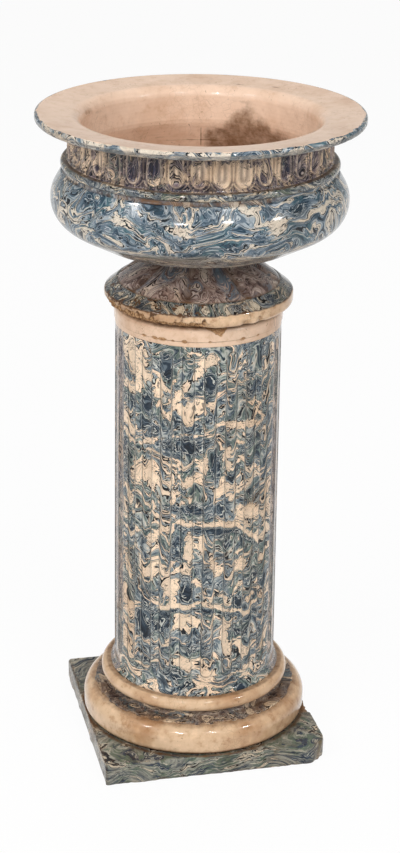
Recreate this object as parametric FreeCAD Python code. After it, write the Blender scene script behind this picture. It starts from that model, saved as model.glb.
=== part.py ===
import FreeCAD, Part
import math
import os

# A marbled earthenware jardiniere standing on a fluted column, in millimetres.
#
# The stand is a square plinth, a base of two cream rolls with a hollow moulding between
# them, a fluted column and a cream collar whose flat top carries the pot. The pot is a wide
# bowl with a flat flange, a band of upright leaves and a bead ring round its neck, and a
# spreading foot. The two halves aren't fixed: the pot lifts straight off the collar.
#
# The column's axis is Z, the plinth's sides lie along X and Y, and Z = 0 is the ground.
# The plinth's -Y side faces the front.

V = FreeCAD.Vector
ORIGIN = V(0, 0, 0)
UP = V(0, 0, 1)
FULL_TURN = 360.0              # degrees
RIGHT_ANGLE = 90.0
CUBIC_MM_PER_LITRE = 1e6

# ---- what every piece shares -------------------------------------------------------------

arris_round = 0.8              # of an edge that the glaze has softened
joint_round = 0.5              # of the small step at a joint line

# ---- the stand: driving dimensions ------------------------------------------------------

plinth_height = 31.0
plinth_margin = 0.5            # from the lower roll's reach inwards to the plinth's side
plinth_wall = 14.0
plinth_deck = 11.0             # the plinth's top, over the hollow beneath it
plinth_corner_round = 4.0
plinth_edge_round = 2.0

base_ring_land = 12.0          # how far the lower roll's bore stands outside the column's

lower_roll_height = 41.0
lower_roll_step = 26.0         # reach beyond the upper roll
lower_roll_top_round = 19.0
lower_roll_foot_round = 9.0

scotia_height = 12.0           # the hollow moulding between the two rolls
scotia_fillet = 2.5            # the flat edge at its foot
scotia_lip_inset = 3.0         # from the lower roll's top rounding in to that edge
scotia_throat_rise = 1.2       # of its hollow's deepest corner above that edge
scotia_depth = 3.5             # how far it cuts in under the upper roll's flat
scotia_hollow_flat = 0.4       # left above the rounding of its hollow

upper_roll_height = 20.0
upper_roll_step = 13.5         # reach beyond the column's flared foot
upper_roll_rounds_gap = 0.4    # the flat left between its two roundings

shaft_height = 520.0
shaft_top_radius = 114.0
shaft_taper = 1.5              # the foot's extra radius
shaft_wall = 14.0
shaft_flare = 5.5              # the foot's outward sweep, beyond the taper
shaft_flare_edge = 3.0
shaft_flare_flat = 0.9         # left below the rounding of the sweep

flute_count = 24
flute_width = 17.5
flute_depth = 3.5
flute_foot_gap = 26.0          # plain band below the flutes
flute_head_gap = 9.0           # plain band above them
flute_turn = 11.0              # degrees from +X to one flute's middle

collar_height = 26.0
collar_strip = 7.0             # the lower strip, under the joint line
collar_strip_reach = 0.2       # beyond the shaft's top
collar_reach = 1.3             # the upper band, beyond the strip
collar_edge_round = 8.0
collar_deck = 10.0
collar_vent_radius = 40.0

# ---- the jardiniere: driving dimensions -------------------------------------------------

foot_seat_inset = 3.5          # from the flat of the collar's top in to the foot's seat
foot_seat_width = 10.0
foot_rim_reach = 13.0          # beyond the collar
foot_rim_lift = 5.0            # of the rim's underside above its seat
foot_rim_height = 16.0
foot_rim_under_round = 6.5
foot_rim_top_round = 5.0
foot_band_width = 11.0         # the sloping marbled band, measured along the radius
foot_band_rise = 12.5
foot_band_round = 1.5

dome_inset = 1.5               # the groove where the dome meets the band
dome_height = 43.5
dome_wall = 12.0
dome_shoulder_reach = 18.0     # from the stem out to where the dome turns up into it
dome_shoulder_drop = 15.0      # of that turn below the bowl
dome_turn_round = 14.0
stem_radius = 48.0
stem_wall = 14.0
lobe_count = 8                 # broad lobes round the dome, parted by rounded valleys
lobe_valley_round = 9.0
lobe_valley_depth = 3.0
lobe_turn = -89.0              # degrees from +X to one lobe's middle

bowl_wall = 12.0
bowl_underside_round = 18.0
bowl_under_slope = 27.8        # degrees from the level, outside that turn
belly_radius = 199.9
belly_overhang = 62.9          # beyond the turn where the flat underside starts to climb
belly_height = 72.0            # of the widest place above the stem
belly_round = 42.0
shoulder_lean = 30.0           # degrees from the upright, above the belly
shoulder_rise = 36.0           # from the widest place up to the ledge
ledge_groove = 3.6
ledge_rise = 1.5
ledge_gap = 4.5
bead_height = 11.0
bead_seat = 12.0               # how far the bead ring beds into the neck
bead_reach = 4.5
bead_flat = 0.6                # left between its two roundings
frieze_height = 48.0
frieze_thickness = 4.4
frieze_toe = 3.0               # how far the band's foot spreads over the bead ring
frieze_toe_height = 9.0
frieze_toe_round = 8.0
leaf_count = 38                # upright leaves with round tips, standing on the band
leaf_gap = 7.1                 # between two leaves, measured round the neck
leaf_relief = 2.0
leaf_tip_gap = 4.0             # from the tips to the bead ring
leaf_turn = -103.4             # degrees from +X to one leaf's middle
flange_reach = 43.0            # beyond the leaves
flange_rise = 4.0              # of its underside, from the neck to the lip
flange_dish = 6.0              # of its top, from the lip down to the mouth
lip_height = 11.0
lip_flat = 3.0                 # left between its two roundings
mouth_round = 7.0
floor_round = 14.0

# ---- levels, from the ground up ---------------------------------------------------------

lower_roll_foot = plinth_height
scotia_foot = lower_roll_foot + lower_roll_height
upper_roll_foot = scotia_foot + scotia_height
shaft_foot = upper_roll_foot + upper_roll_height
collar_foot = shaft_foot + shaft_height
collar_top = collar_foot + collar_height

foot_rim_foot = collar_top + foot_rim_lift
foot_rim_top = foot_rim_foot + foot_rim_height
dome_foot = foot_rim_top + foot_band_rise
bowl_foot = dome_foot + dome_height
belly_level = bowl_foot + belly_height
ledge_level = belly_level + shoulder_rise
bead_foot = ledge_level + ledge_rise + ledge_gap
frieze_foot = bead_foot + bead_height
frieze_top = frieze_foot + frieze_height
lip_foot = frieze_top + flange_rise
lip_top = lip_foot + lip_height

# ---- radii, from the column's bore outwards ---------------------------------------------

shaft_bore = shaft_top_radius - shaft_wall
shaft_foot_radius = shaft_top_radius + shaft_taper
shaft_flare_radius = shaft_foot_radius + shaft_flare
upper_roll_round = (upper_roll_height - upper_roll_rounds_gap) / 2
upper_roll_radius = shaft_flare_radius + upper_roll_step
upper_roll_flat = upper_roll_radius - upper_roll_round
lower_roll_radius = upper_roll_radius + lower_roll_step
lower_roll_flat = lower_roll_radius - lower_roll_top_round
scotia_radius = lower_roll_flat + scotia_lip_inset
base_ring_bore = shaft_bore + base_ring_land
plinth_side = 2 * (lower_roll_radius - plinth_margin)

collar_strip_radius = shaft_top_radius + collar_strip_reach
collar_radius = collar_strip_radius + collar_reach

foot_seat_radius = collar_radius - collar_edge_round - foot_seat_inset
foot_bore = foot_seat_radius - foot_seat_width
foot_rim_radius = collar_radius + foot_rim_reach
foot_band_foot = foot_rim_radius - foot_rim_top_round
foot_band_top = foot_band_foot - foot_band_width
dome_radius = foot_band_top - dome_inset
stem_bore_radius = stem_radius - stem_wall
dome_shoulder_radius = stem_radius + dome_shoulder_reach

bowl_underside_radius = belly_radius - belly_overhang
bead_round = (bead_height - bead_flat) / 2
lip_round = (lip_height - lip_flat) / 2


# ---- outlines ----------------------------------------------------------------------------

def rounded_outline(corners):
    """Closed wire through corners (r, z, round), each rounded with its own radius."""
    count = len(corners)
    edges = []
    run_start = None
    first_start = None
    for index, (r, z, radius) in enumerate(corners):
        here = V(r, 0, z)
        before = V(corners[index - 1][0], 0, corners[index - 1][1])
        after = V(corners[(index + 1) % count][0], 0, corners[(index + 1) % count][1])
        to_before = (before - here).normalize()
        to_after = (after - here).normalize()
        entry = here
        leave = here
        if radius > 0:
            half_angle = to_before.getAngle(to_after) / 2
            reach = radius / math.tan(half_angle)
            entry = here + to_before * reach
            leave = here + to_after * reach
            bisector = (to_before + to_after).normalize()
            middle = here + bisector * (radius / math.sin(half_angle) - radius)
        if run_start is not None:
            edges.append(Part.makeLine(run_start, entry))
        if radius > 0:
            edges.append(Part.Arc(entry, middle, leave).toShape())
        if first_start is None:
            first_start = entry
        run_start = leave
    edges.append(Part.makeLine(run_start, first_start))
    return Part.Wire(edges)


def turned(corners):
    """Solid of revolution about the column's axis."""
    return Part.Face(rounded_outline(corners)).revolve(ORIGIN, UP, FULL_TURN)


def fitting_round(before, corner, after, flat):
    """Rounding of a corner that leaves this much flat on the shorter of its two sides."""
    here = V(corner[0], 0, corner[1])
    to_before = V(before[0], 0, before[1]) - here
    to_after = V(after[0], 0, after[1]) - here
    reach = min(to_before.Length, to_after.Length) - flat
    return reach * math.tan(to_before.getAngle(to_after) / 2)


def level_at(radius, foot, slope):
    """Height at a radius on the straight line through foot = (r, z) at slope degrees."""
    return foot[1] + (radius - foot[0]) * math.tan(math.radians(slope))


def radius_at(level, foot, slope):
    """Radius at a height on the same line."""
    return foot[0] + (level - foot[1]) / math.tan(math.radians(slope))


# ---- the stand's pieces ------------------------------------------------------------------

def rounded_square(side, height, corner_round, foot):
    """Upright block with a square plan and rounded corners."""
    block = Part.makeBox(side, side, height, V(-side / 2, -side / 2, foot))
    upright = [edge for edge in block.Edges if edge.BoundBox.ZLength > height / 2]
    return block.makeFillet(corner_round, upright)


def plinth():
    """Square slab, hollow beneath, with a round hole in its deck under the column."""
    body = rounded_square(plinth_side, plinth_height, plinth_corner_round, 0)
    top = max(body.Faces, key=lambda face: face.CenterOfMass.z)
    body = body.makeFillet(plinth_edge_round, top.Edges)
    hollow_side = plinth_side - 2 * plinth_wall
    hollow_height = plinth_height - plinth_deck
    hollow = rounded_square(hollow_side, hollow_height, plinth_corner_round, 0)
    hole = Part.makeCylinder(base_ring_bore, plinth_height, ORIGIN)
    return body.cut(hollow).cut(hole)


def lower_roll():
    """Big cream roll on the plinth, fuller at its foot."""
    return turned([
        (base_ring_bore, lower_roll_foot, 0),
        (lower_roll_radius, lower_roll_foot, lower_roll_foot_round),
        (lower_roll_radius, scotia_foot, lower_roll_top_round),
        (base_ring_bore, scotia_foot, 0),
    ])


def scotia():
    """Hollow moulding between the rolls, with a flat edge at its foot."""
    edge = (scotia_radius, scotia_foot + scotia_fillet)
    throat = (upper_roll_flat - scotia_depth, edge[1] + scotia_throat_rise)
    head = (upper_roll_flat, upper_roll_foot)
    return turned([
        (shaft_bore, scotia_foot, 0),
        (scotia_radius, scotia_foot, 0),
        (*edge, arris_round),
        (*throat, fitting_round(edge, throat, head, scotia_hollow_flat)),
        (*head, 0),
        (shaft_bore, upper_roll_foot, 0),
    ])


def upper_roll():
    """Small cream roll under the column."""
    return turned([
        (shaft_bore, upper_roll_foot, 0),
        (upper_roll_radius, upper_roll_foot, upper_roll_round),
        (upper_roll_radius, shaft_foot, upper_roll_round),
        (shaft_bore, shaft_foot, 0),
    ])


def flute_cutter(turn):
    """Round-ended bar that cuts one flute, leaning with the column's taper."""
    cutter_radius = (flute_width ** 2 / 4 + flute_depth ** 2) / (2 * flute_depth)
    stand_off = cutter_radius - flute_depth
    low = shaft_foot + flute_foot_gap + flute_width / 2
    high = collar_foot - flute_head_gap - flute_width / 2
    lean = shaft_taper / shaft_height
    low_radius = shaft_foot_radius - lean * (low - shaft_foot) + stand_off
    high_radius = shaft_foot_radius - lean * (high - shaft_foot) + stand_off
    start = V(low_radius, 0, low)
    end = V(high_radius, 0, high)
    run = end - start
    bar = Part.makeCylinder(cutter_radius, run.Length, start, run)
    bar = bar.fuse([Part.makeSphere(cutter_radius, start), Part.makeSphere(cutter_radius, end)])
    bar.rotate(ORIGIN, UP, turn)
    return bar


def column_shaft():
    """Hollow fluted column, slightly tapered, swept out at its foot."""
    edge = (shaft_flare_radius, shaft_foot + shaft_flare_edge)
    sweep = (shaft_foot_radius, shaft_foot + 2 * shaft_flare_edge)
    head = (shaft_top_radius, collar_foot)
    shaft = turned([
        (shaft_bore, shaft_foot, 0),
        (shaft_flare_radius, shaft_foot, 0),
        (*edge, arris_round),
        (*sweep, fitting_round(edge, sweep, head, shaft_flare_flat)),
        (*head, 0),
        (shaft_bore, collar_foot, 0),
    ])
    step = FULL_TURN / flute_count
    flutes = [flute_cutter(flute_turn + k * step) for k in range(flute_count)]
    return shaft.cut(flutes)


def column_collar():
    """Cream band that closes the column; its deck has a vent hole and carries the pot."""
    joint_line = collar_foot + collar_strip
    deck_underside = collar_top - collar_deck
    return turned([
        (shaft_bore, collar_foot, 0),
        (collar_strip_radius, collar_foot, 0),
        (collar_strip_radius, joint_line, 0),
        (collar_radius, joint_line + collar_reach / 2, joint_round),
        (collar_radius, collar_top, collar_edge_round),
        (collar_vent_radius, collar_top, 0),
        (collar_vent_radius, deck_underside, 0),
        (shaft_bore, deck_underside, 0),
    ])


# ---- the jardiniere's pieces -------------------------------------------------------------

def foot_ring():
    """Rim and sloping band of the pot's foot; its flat seat rests on the collar."""
    return turned([
        (foot_bore, collar_top, 0),
        (foot_seat_radius, collar_top, 0),
        (foot_rim_radius, foot_rim_foot, foot_rim_under_round),
        (foot_rim_radius, foot_rim_top, foot_rim_top_round),
        (foot_band_top, dome_foot, foot_band_round),
        (foot_bore, dome_foot, 0),
    ])


def valley_cutter(turn, shoulder_level):
    """Round bar that lies down the dome's slope and cuts one valley between two lobes."""
    top = V(dome_shoulder_radius, 0, shoulder_level)
    foot = V(dome_radius, 0, dome_foot)
    run = foot - top
    outwards = V(-run.z, 0, run.x).normalize()
    start = top + outwards * (lobe_valley_round - lobe_valley_depth)
    past_the_foot = 2 * run.Length
    bar = Part.makeCylinder(lobe_valley_round, past_the_foot, start, run)
    bar = bar.fuse(Part.makeSphere(lobe_valley_round, start))
    bar.rotate(ORIGIN, UP, turn)
    return bar


def foot_dome():
    """Hollow lobed dome that rises from the foot ring and turns up into the stem."""
    shoulder_level = bowl_foot - dome_shoulder_drop
    run = dome_radius - dome_shoulder_radius
    rise = shoulder_level - dome_foot
    wall_across = dome_wall * math.hypot(run, rise) / rise
    inner_foot = dome_radius - wall_across
    inner_shoulder = dome_shoulder_radius - wall_across
    inner_level = shoulder_level + (inner_shoulder - stem_bore_radius) * rise / run
    dome = turned([
        (inner_foot, dome_foot, 0),
        (dome_radius, dome_foot, 0),
        (dome_shoulder_radius, shoulder_level, dome_turn_round),
        (stem_radius, bowl_foot, 0),
        (stem_bore_radius, bowl_foot, 0),
        (stem_bore_radius, inner_level, 0),
    ])
    step = FULL_TURN / lobe_count
    first_valley = lobe_turn + step / 2
    return dome.cut([valley_cutter(first_valley + k * step, shoulder_level)
                     for k in range(lobe_count)])


def belly_corner(wall):
    """Corner whose rounding is the belly, for the skin that lies wall inside the outside."""
    radius = belly_round - wall
    low = math.radians(bowl_under_slope - RIGHT_ANGLE)
    high = math.radians(shoulder_lean)
    middle = (low + high) / 2
    reach = radius / math.cos((high - low) / 2)
    centre_radius = belly_radius - belly_round
    return (centre_radius + reach * math.cos(middle), belly_level + reach * math.sin(middle), radius)


def neck_radii():
    """Radii of the ledge's edge, of the throat in its groove and of the neck's bare wall."""
    ledge = radius_at(ledge_level, belly_corner(0), RIGHT_ANGLE + shoulder_lean)
    throat = ledge - ledge_groove
    return ledge, throat, throat - bead_seat


def lip_reach(neck):
    """The lip's radius, from the neck's."""
    return neck + frieze_thickness + leaf_relief + flange_reach


def bowl():
    """One thrown shell: underside, belly, shoulder, neck and flat flange."""
    outer_belly = belly_corner(0)
    inner_belly = belly_corner(bowl_wall)
    ledge, throat, neck = neck_radii()
    mouth = neck - bowl_wall
    mouth_foot = level_at(mouth, inner_belly, RIGHT_ANGLE + shoulder_lean)
    lip = lip_reach(neck)
    underside_level = level_at(bowl_underside_radius, outer_belly, bowl_under_slope)
    floor_level = bowl_foot + bowl_wall
    floor_radius = radius_at(floor_level, inner_belly, bowl_under_slope)
    return turned([
        (0, bowl_foot, 0),
        (stem_radius, bowl_foot, 0),
        (bowl_underside_radius, underside_level, bowl_underside_round),
        outer_belly,
        (ledge, ledge_level, arris_round),
        (throat, ledge_level + ledge_rise, 0),
        (throat, bead_foot, 0),
        (neck, bead_foot, 0),
        (neck, frieze_top, 0),
        (lip, lip_foot, lip_round),
        (lip, lip_top, lip_round),
        (mouth, lip_top - flange_dish, mouth_round),
        (mouth, mouth_foot, mouth_round),
        inner_belly,
        (floor_radius, floor_level, floor_round),
        (0, floor_level, 0),
    ])


def bead_ring():
    """Half-round ring bedded on the ledge at the neck's foot."""
    _, throat, neck = neck_radii()
    return turned([
        (neck, bead_foot, 0),
        (throat + bead_reach, bead_foot, bead_round),
        (throat + bead_reach, frieze_foot, bead_round),
        (neck, frieze_foot, 0),
    ])


def frieze_layer(thickness):
    """Ring of this thickness round the neck, from the bead ring up to the flange."""
    neck = neck_radii()[-1]
    face = neck + thickness
    under_flange = frieze_top + flange_rise * thickness / (lip_reach(neck) - neck)
    return turned([
        (neck, frieze_foot, 0),
        (face + frieze_toe, frieze_foot, 0),
        (face, frieze_foot + frieze_toe_height, frieze_toe_round),
        (face, under_flange, 0),
        (neck, frieze_top, 0),
    ])


def leaf_blank(turn):
    """Upright tongue with a round lower tip, from inside the band to beyond its leaves."""
    neck = neck_radii()[-1]
    inner = neck + frieze_thickness / 2
    depth = frieze_thickness + leaf_relief + frieze_toe
    width = 2 * math.pi * neck / leaf_count - leaf_gap
    round_level = frieze_foot + leaf_tip_gap + width / 2
    height = frieze_top + flange_rise - round_level
    blade = Part.makeBox(depth, width, height, V(inner, -width / 2, round_level))
    tip = Part.makeCylinder(width / 2, depth, V(inner, 0, round_level), V(1, 0, 0))
    tongue = blade.fuse(tip)
    tongue.rotate(ORIGIN, UP, turn)
    return tongue


def neck_frieze():
    """Band laid round the neck between the bead ring and the flange, with its raised leaves."""
    step = FULL_TURN / leaf_count
    blanks = [leaf_blank(leaf_turn + k * step) for k in range(leaf_count)]
    leaves = frieze_layer(frieze_thickness + leaf_relief).common(Part.makeCompound(blanks))
    return frieze_layer(frieze_thickness).fuse(leaves.Solids).removeSplitter()


# ---- build and write ---------------------------------------------------------------------

pieces = {
    "plinth": plinth(),
    "lower_roll": lower_roll(),
    "scotia": scotia(),
    "upper_roll": upper_roll(),
    "column_shaft": column_shaft(),
    "column_collar": column_collar(),
    "foot_ring": foot_ring(),
    "foot_dome": foot_dome(),
    "bowl": bowl(),
    "bead_ring": bead_ring(),
    "neck_frieze": neck_frieze(),
}

os.makedirs("parts", exist_ok=True)
for name, shape in pieces.items():
    shape.exportStep(os.path.join("parts", name + ".step"))
    print(name, "valid", shape.isValid(), "solids", len(shape.Solids),
          "litres", round(shape.Volume / CUBIC_MM_PER_LITRE, 3))

print("total height", lip_top, "plinth side", plinth_side,
      "collar top", collar_top, "bowl foot", bowl_foot)
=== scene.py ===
# %% [markdown]
# # A marbled jardiniere on its fluted stand
#
# The real object is a wide flower pot that stands loose on a hollow column. Both are made of
# agateware: clays of several colours are folded together, pressed or thrown into shape, and
# covered with a clear gloss glaze. Plain cream clay makes the rolls, the collar and the rims.
#
# The CAD model gives every size and place. This lesson dresses it: each solid is replaced by a
# finely divided surface with the carving, wobble, chips and wear of the real pottery, and gets
# a finish made from nodes. All lengths are in metres.

# %% Load the frame
import itertools
import math

import bmesh
import bpy
import numpy as np
from mathutils import Matrix, Vector


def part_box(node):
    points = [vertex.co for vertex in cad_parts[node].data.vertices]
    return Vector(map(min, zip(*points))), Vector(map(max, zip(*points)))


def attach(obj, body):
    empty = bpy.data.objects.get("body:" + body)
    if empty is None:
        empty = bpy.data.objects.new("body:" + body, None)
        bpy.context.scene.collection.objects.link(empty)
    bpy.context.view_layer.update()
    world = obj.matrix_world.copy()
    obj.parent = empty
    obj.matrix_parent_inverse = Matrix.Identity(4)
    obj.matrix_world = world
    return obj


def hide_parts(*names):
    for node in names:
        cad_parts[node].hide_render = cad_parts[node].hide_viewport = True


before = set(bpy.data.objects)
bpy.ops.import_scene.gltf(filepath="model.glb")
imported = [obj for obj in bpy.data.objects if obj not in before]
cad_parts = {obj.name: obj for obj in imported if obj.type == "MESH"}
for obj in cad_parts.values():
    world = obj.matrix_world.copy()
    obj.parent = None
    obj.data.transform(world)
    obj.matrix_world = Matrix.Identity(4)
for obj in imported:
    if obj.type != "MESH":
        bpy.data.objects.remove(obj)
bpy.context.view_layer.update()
MM = 0.001
print("nodes", sorted(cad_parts))

# %% [markdown]
# ## Where things are
#
# A damaged spot is easiest to describe as a number of degrees to the right of the side that
# faces the photographer. The plinth is turned 13 degrees to that side, so the front of the
# photograph is not the plinth's own front.

# %% Angles and levels
FRONT = math.radians(-103.0)
FULL_TURN = 2 * math.pi


def half_turn_at_most(degrees):
    """The same direction as a number from -180 to 180."""
    return (degrees + 180) % 360 - 180


def front_angle(turn):
    """Degrees to the right of the photograph's front, from -180 to 180."""
    return half_turn_at_most(np.degrees(turn - FRONT))


def from_nearest(turn, first, count):
    """Angle from the nearest of several equally spaced places, one of which is at first."""
    step = FULL_TURN / count
    return (turn - first + step / 2) % step - step / 2


def extent(node):
    """Foot, top and widest radius of a CAD node that is centred on the axis."""
    low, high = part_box(node)
    return low.z, high.z, high.x


_, plinth_top, plinth_half = extent("plinth")
lower_roll_foot, lower_roll_top, lower_roll_radius = extent("lower_roll")
scotia_foot, scotia_top, scotia_radius = extent("scotia")
upper_roll_foot, upper_roll_top, upper_roll_radius = extent("upper_roll")
shaft_foot, shaft_top, shaft_flare_radius = extent("column_shaft")
collar_foot, collar_top, collar_radius = extent("column_collar")
ring_seat, ring_top, rim_radius = extent("foot_ring")
dome_foot, dome_top, dome_radius = extent("foot_dome")
bowl_foot, lip_top, lip_radius = extent("bowl")
bead_foot, bead_top, bead_radius = extent("bead_ring")
frieze_foot, frieze_top, _ = extent("neck_frieze")
print("lip radius", round(lip_radius, 4), "total height", round(lip_top, 4))

# %% [markdown]
# ## Shaping helpers
#
# Hand-made pottery is never quite true. Two kinds of unevenness are enough: slow waves that
# close round the axis, for the wobble of a pressed or thrown wall, and a fine random grain, for
# broken edges. Both come from fixed seeds, so the pot is the same pot on every run.

# %% Smooth steps and spots


def rise(value, low, high):
    """0 below low and 1 above high, with a smooth climb between them."""
    part = np.clip((value - low) / (high - low), 0, 1)
    return part * part * (3 - 2 * part)


def spot(distance, radius):
    """1 at the middle of a spot and 0 beyond its radius."""
    return 1 - rise(distance, 0, radius)


def span(value, low, high, edge):
    """1 between low and high, fading to 0 over edge on either side."""
    return rise(value, low - edge, low + edge) * (1 - rise(value, high - edge, high + edge))


# %% Slow waves of a hand-made wall
WAVES = 7


def wander(turn, height, seed, climb=30.0):
    """Slow random unevenness, about -1 to 1, that closes round the axis."""
    random = np.random.default_rng(seed)
    total = np.zeros_like(turn)
    for _ in range(WAVES):
        turns = random.integers(1, 6)
        lean = random.uniform(-climb, climb)
        phase = random.uniform(0, FULL_TURN)
        total += np.sin(turns * turn + lean * height + phase)
    return np.clip(total / math.sqrt(WAVES), -1, 1)


def wobbled(radius, where, amount, turn, height, seed, climb=30.0):
    """The radius with up to this amount taken off where the wall is open to view."""
    return radius - where * amount * (1 + wander(turn, height, seed, climb)) / 2


# %% Random grain of a broken edge
CELL_STEPS = np.array([73856093, 19349663, 83492791])
SEED_STEP = 15485863
SCRAMBLE = 1274126177
VALUE_BITS = 0xFFFF


def grain(x, y, z, size, seed):
    """Smooth random values from 0 to 1 that change over about size metres."""
    place = np.stack([x, y, z], axis=-1) / size
    cell = np.floor(place).astype(np.int64)
    part = place - cell
    part = part * part * (3 - 2 * part)
    total = np.zeros(place.shape[:-1])
    for corner in itertools.product((0, 1), repeat=3):
        number = (cell + corner) @ CELL_STEPS + seed * SEED_STEP
        number = (number ^ (number >> 13)) * SCRAMBLE
        value = ((number ^ (number >> 16)) & VALUE_BITS) / VALUE_BITS
        weight = np.where(np.array(corner) == 1, part, 1 - part).prod(axis=-1)
        total += weight * value
    return total


# %% Patches of pale and dark clay


def patches(turn, height, places):
    """Above 0 where pale clay comes to the surface, below 0 where dark clay does."""
    total = np.zeros_like(turn)
    facing = front_angle(turn)
    for right, level, half_width, half_height, lean, strength in places:
        aside = half_turn_at_most(facing - right)
        up = height / MM - level - lean * aside
        away = (aside / half_width) ** 2 + (up / half_height) ** 2
        total += strength * np.exp(-away ** 1.5)
    return total


# %% [markdown]
# ## Turned pieces
#
# Almost every piece is a section swept round the axis. The section is a short list of corners,
# each with the rounding that the potter gave it. Blender's Screw modifier could sweep it, but
# then the carving would have to be added blind. Instead the swept points are kept as arrays of
# radius, height and angle, so that flutes, leaves and chips are plain arithmetic on them.

# %% A rounded section
FULL_ROUND_STEPS = 5


def unit(vector):
    return vector / np.linalg.norm(vector)


def rounded_stops(corners):
    """The section's corners with their roundings as points: (point, spacing after it, run)."""
    stops = []
    for index, (r, z, rounding, spacing) in enumerate(corners):
        here = np.array([r, z])
        if rounding == 0:
            stops.append((here, spacing, index))
            continue
        before = unit(np.array(corners[index - 1][:2]) - here)
        after = unit(np.array(corners[(index + 1) % len(corners)][:2]) - here)
        half = math.acos(np.dot(before, after)) / 2
        centre = here + unit(before + after) * rounding / math.sin(half)
        entry = here + before * rounding / math.tan(half) - centre
        leave = here + after * rounding / math.tan(half) - centre
        start = math.atan2(entry[1], entry[0])
        sweep = math.atan2(leave[1], leave[0]) - start
        sweep = (sweep + math.pi) % FULL_TURN - math.pi
        steps = max(FULL_ROUND_STEPS, math.ceil(abs(sweep) * rounding / spacing))
        for k in range(steps + 1):
            turn = start + sweep * k / steps
            point = centre + rounding * np.array([math.cos(turn), math.sin(turn)])
            stops.append((point, spacing, index))
    return stops


def section(corners):
    """Points (r, z) round a closed section, and the number of the corner each run starts at."""
    stops = rounded_stops(corners)
    points = []
    runs = []
    for index, (here, spacing, run) in enumerate(stops):
        there = stops[(index + 1) % len(stops)][0]
        steps = max(1, math.ceil(np.linalg.norm(there - here) / spacing))
        for k in range(steps):
            points.append(here + (there - here) * k / steps)
            runs.append(run)
    return np.array(points), np.array(runs)


def swept(corners, around):
    """Radius, height, polar angle and run number of a section swept round the axis."""
    points, runs = section(corners)
    turn = np.arange(around) * FULL_TURN / around
    radius, angle = np.meshgrid(points[:, 0], turn, indexing="ij")
    height = np.repeat(points[:, 1:2], around, axis=1)
    run = np.repeat(runs[:, None], around, axis=1)
    return radius, height, angle, run


# %% Turn a grid of points into a piece
SHARP_ANGLE = math.radians(50)
WELD = 1e-6


def make_piece(name, x, y, z, masks, node, body, finish):
    """Closes a grid of points into a mesh, paints its masks and hands it to the frame."""
    rows, columns = x.shape
    index = np.arange(rows * columns).reshape(rows, columns)
    beside = np.roll(index, -1, axis=1)
    below = np.roll(index, -1, axis=0)
    across = np.roll(below, -1, axis=1)
    quads = np.stack([index, beside, across, below], axis=-1).reshape(-1, 4)
    mesh = bpy.data.meshes.new(name)
    mesh.from_pydata(np.stack([x, y, z], axis=-1).reshape(-1, 3).tolist(), [], quads.tolist())
    for mask, values in {"chip": 0.0, **masks}.items():
        layer = mesh.attributes.new(mask, "FLOAT", "POINT")
        layer.data.foreach_set("value", np.broadcast_to(values, x.shape).ravel().astype("f4"))
    shaped = bmesh.new()
    shaped.from_mesh(mesh)
    bmesh.ops.remove_doubles(shaped, verts=shaped.verts, dist=WELD)
    bmesh.ops.recalc_face_normals(shaped, faces=shaped.faces)
    shaped.to_mesh(mesh)
    shaped.free()
    mesh.shade_smooth()
    mesh.set_sharp_from_angle(angle=SHARP_ANGLE)
    mesh.materials.append(finish)
    piece = bpy.data.objects.new(name, mesh)
    bpy.context.collection.objects.link(piece)
    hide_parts(node)
    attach(piece, body)
    print(name, len(mesh.vertices), "points", len(mesh.polygons), "faces")
    return piece


def turned_piece(name, radius, height, turn, masks, node, body, finish):
    """A piece from its swept and carved arrays."""
    x = radius * np.cos(turn)
    y = radius * np.sin(turn)
    return make_piece(name, x, y, height, masks, node, body, finish)


# %% [markdown]
# ## Node helpers
#
# A finish is a tree of nodes. A few helpers that each add one node and give back its output
# keep the trees short enough to read.

# %% One helper per kind of node


def feed(tree, socket, value):
    """Links an output to a socket, or sets the socket's plain value."""
    if isinstance(value, bpy.types.NodeSocket):
        tree.links.new(value, socket)
    else:
        socket.default_value = value


def calculate(tree, operation, *values):
    """A Math node's result."""
    node = tree.nodes.new("ShaderNodeMath")
    node.operation = operation
    for socket, value in zip(node.inputs, values):
        feed(tree, socket, value)
    return node.outputs[0]


def times(tree, first, second):
    return calculate(tree, "MULTIPLY", first, second)


def plus(tree, first, second):
    return calculate(tree, "ADD", first, second)


def minus(tree, first, second):
    return calculate(tree, "SUBTRACT", first, second)


def move(tree, operation, first, second):
    """A Vector Math node's result."""
    node = tree.nodes.new("ShaderNodeVectorMath")
    node.operation = operation
    feed(tree, node.inputs[0], first)
    if operation == "SCALE":
        feed(tree, node.inputs["Scale"], second)
    else:
        feed(tree, node.inputs[1], second)
    return node.outputs[0]


def cloud(tree, place, scale, detail=2.0, roughness=0.5):
    """A Noise Texture node."""
    node = tree.nodes.new("ShaderNodeTexNoise")
    node.inputs["Detail"].default_value = detail
    node.inputs["Roughness"].default_value = roughness
    feed(tree, node.inputs["Vector"], place)
    feed(tree, node.inputs["Scale"], scale)
    return node


def noise(tree, place, scale, detail=2.0, roughness=0.5):
    """A Noise Texture read as a grey value."""
    return cloud(tree, place, scale, detail, roughness).outputs["Fac"]


def step_up(tree, value, low, high):
    """0 below low and 1 above high, smooth between."""
    node = tree.nodes.new("ShaderNodeMapRange")
    node.interpolation_type = "SMOOTHSTEP"
    feed(tree, node.inputs["Value"], value)
    feed(tree, node.inputs["From Min"], low)
    feed(tree, node.inputs["From Max"], high)
    return node.outputs["Result"]


def blend_colour(tree, share, first, second, mode="MIX"):
    """A Mix Color node's result."""
    node = tree.nodes.new("ShaderNodeMix")
    node.data_type = "RGBA"
    node.blend_type = mode
    feed(tree, node.inputs["Factor"], share)
    feed(tree, node.inputs[6], first)
    feed(tree, node.inputs[7], second)
    return node.outputs[2]


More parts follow.
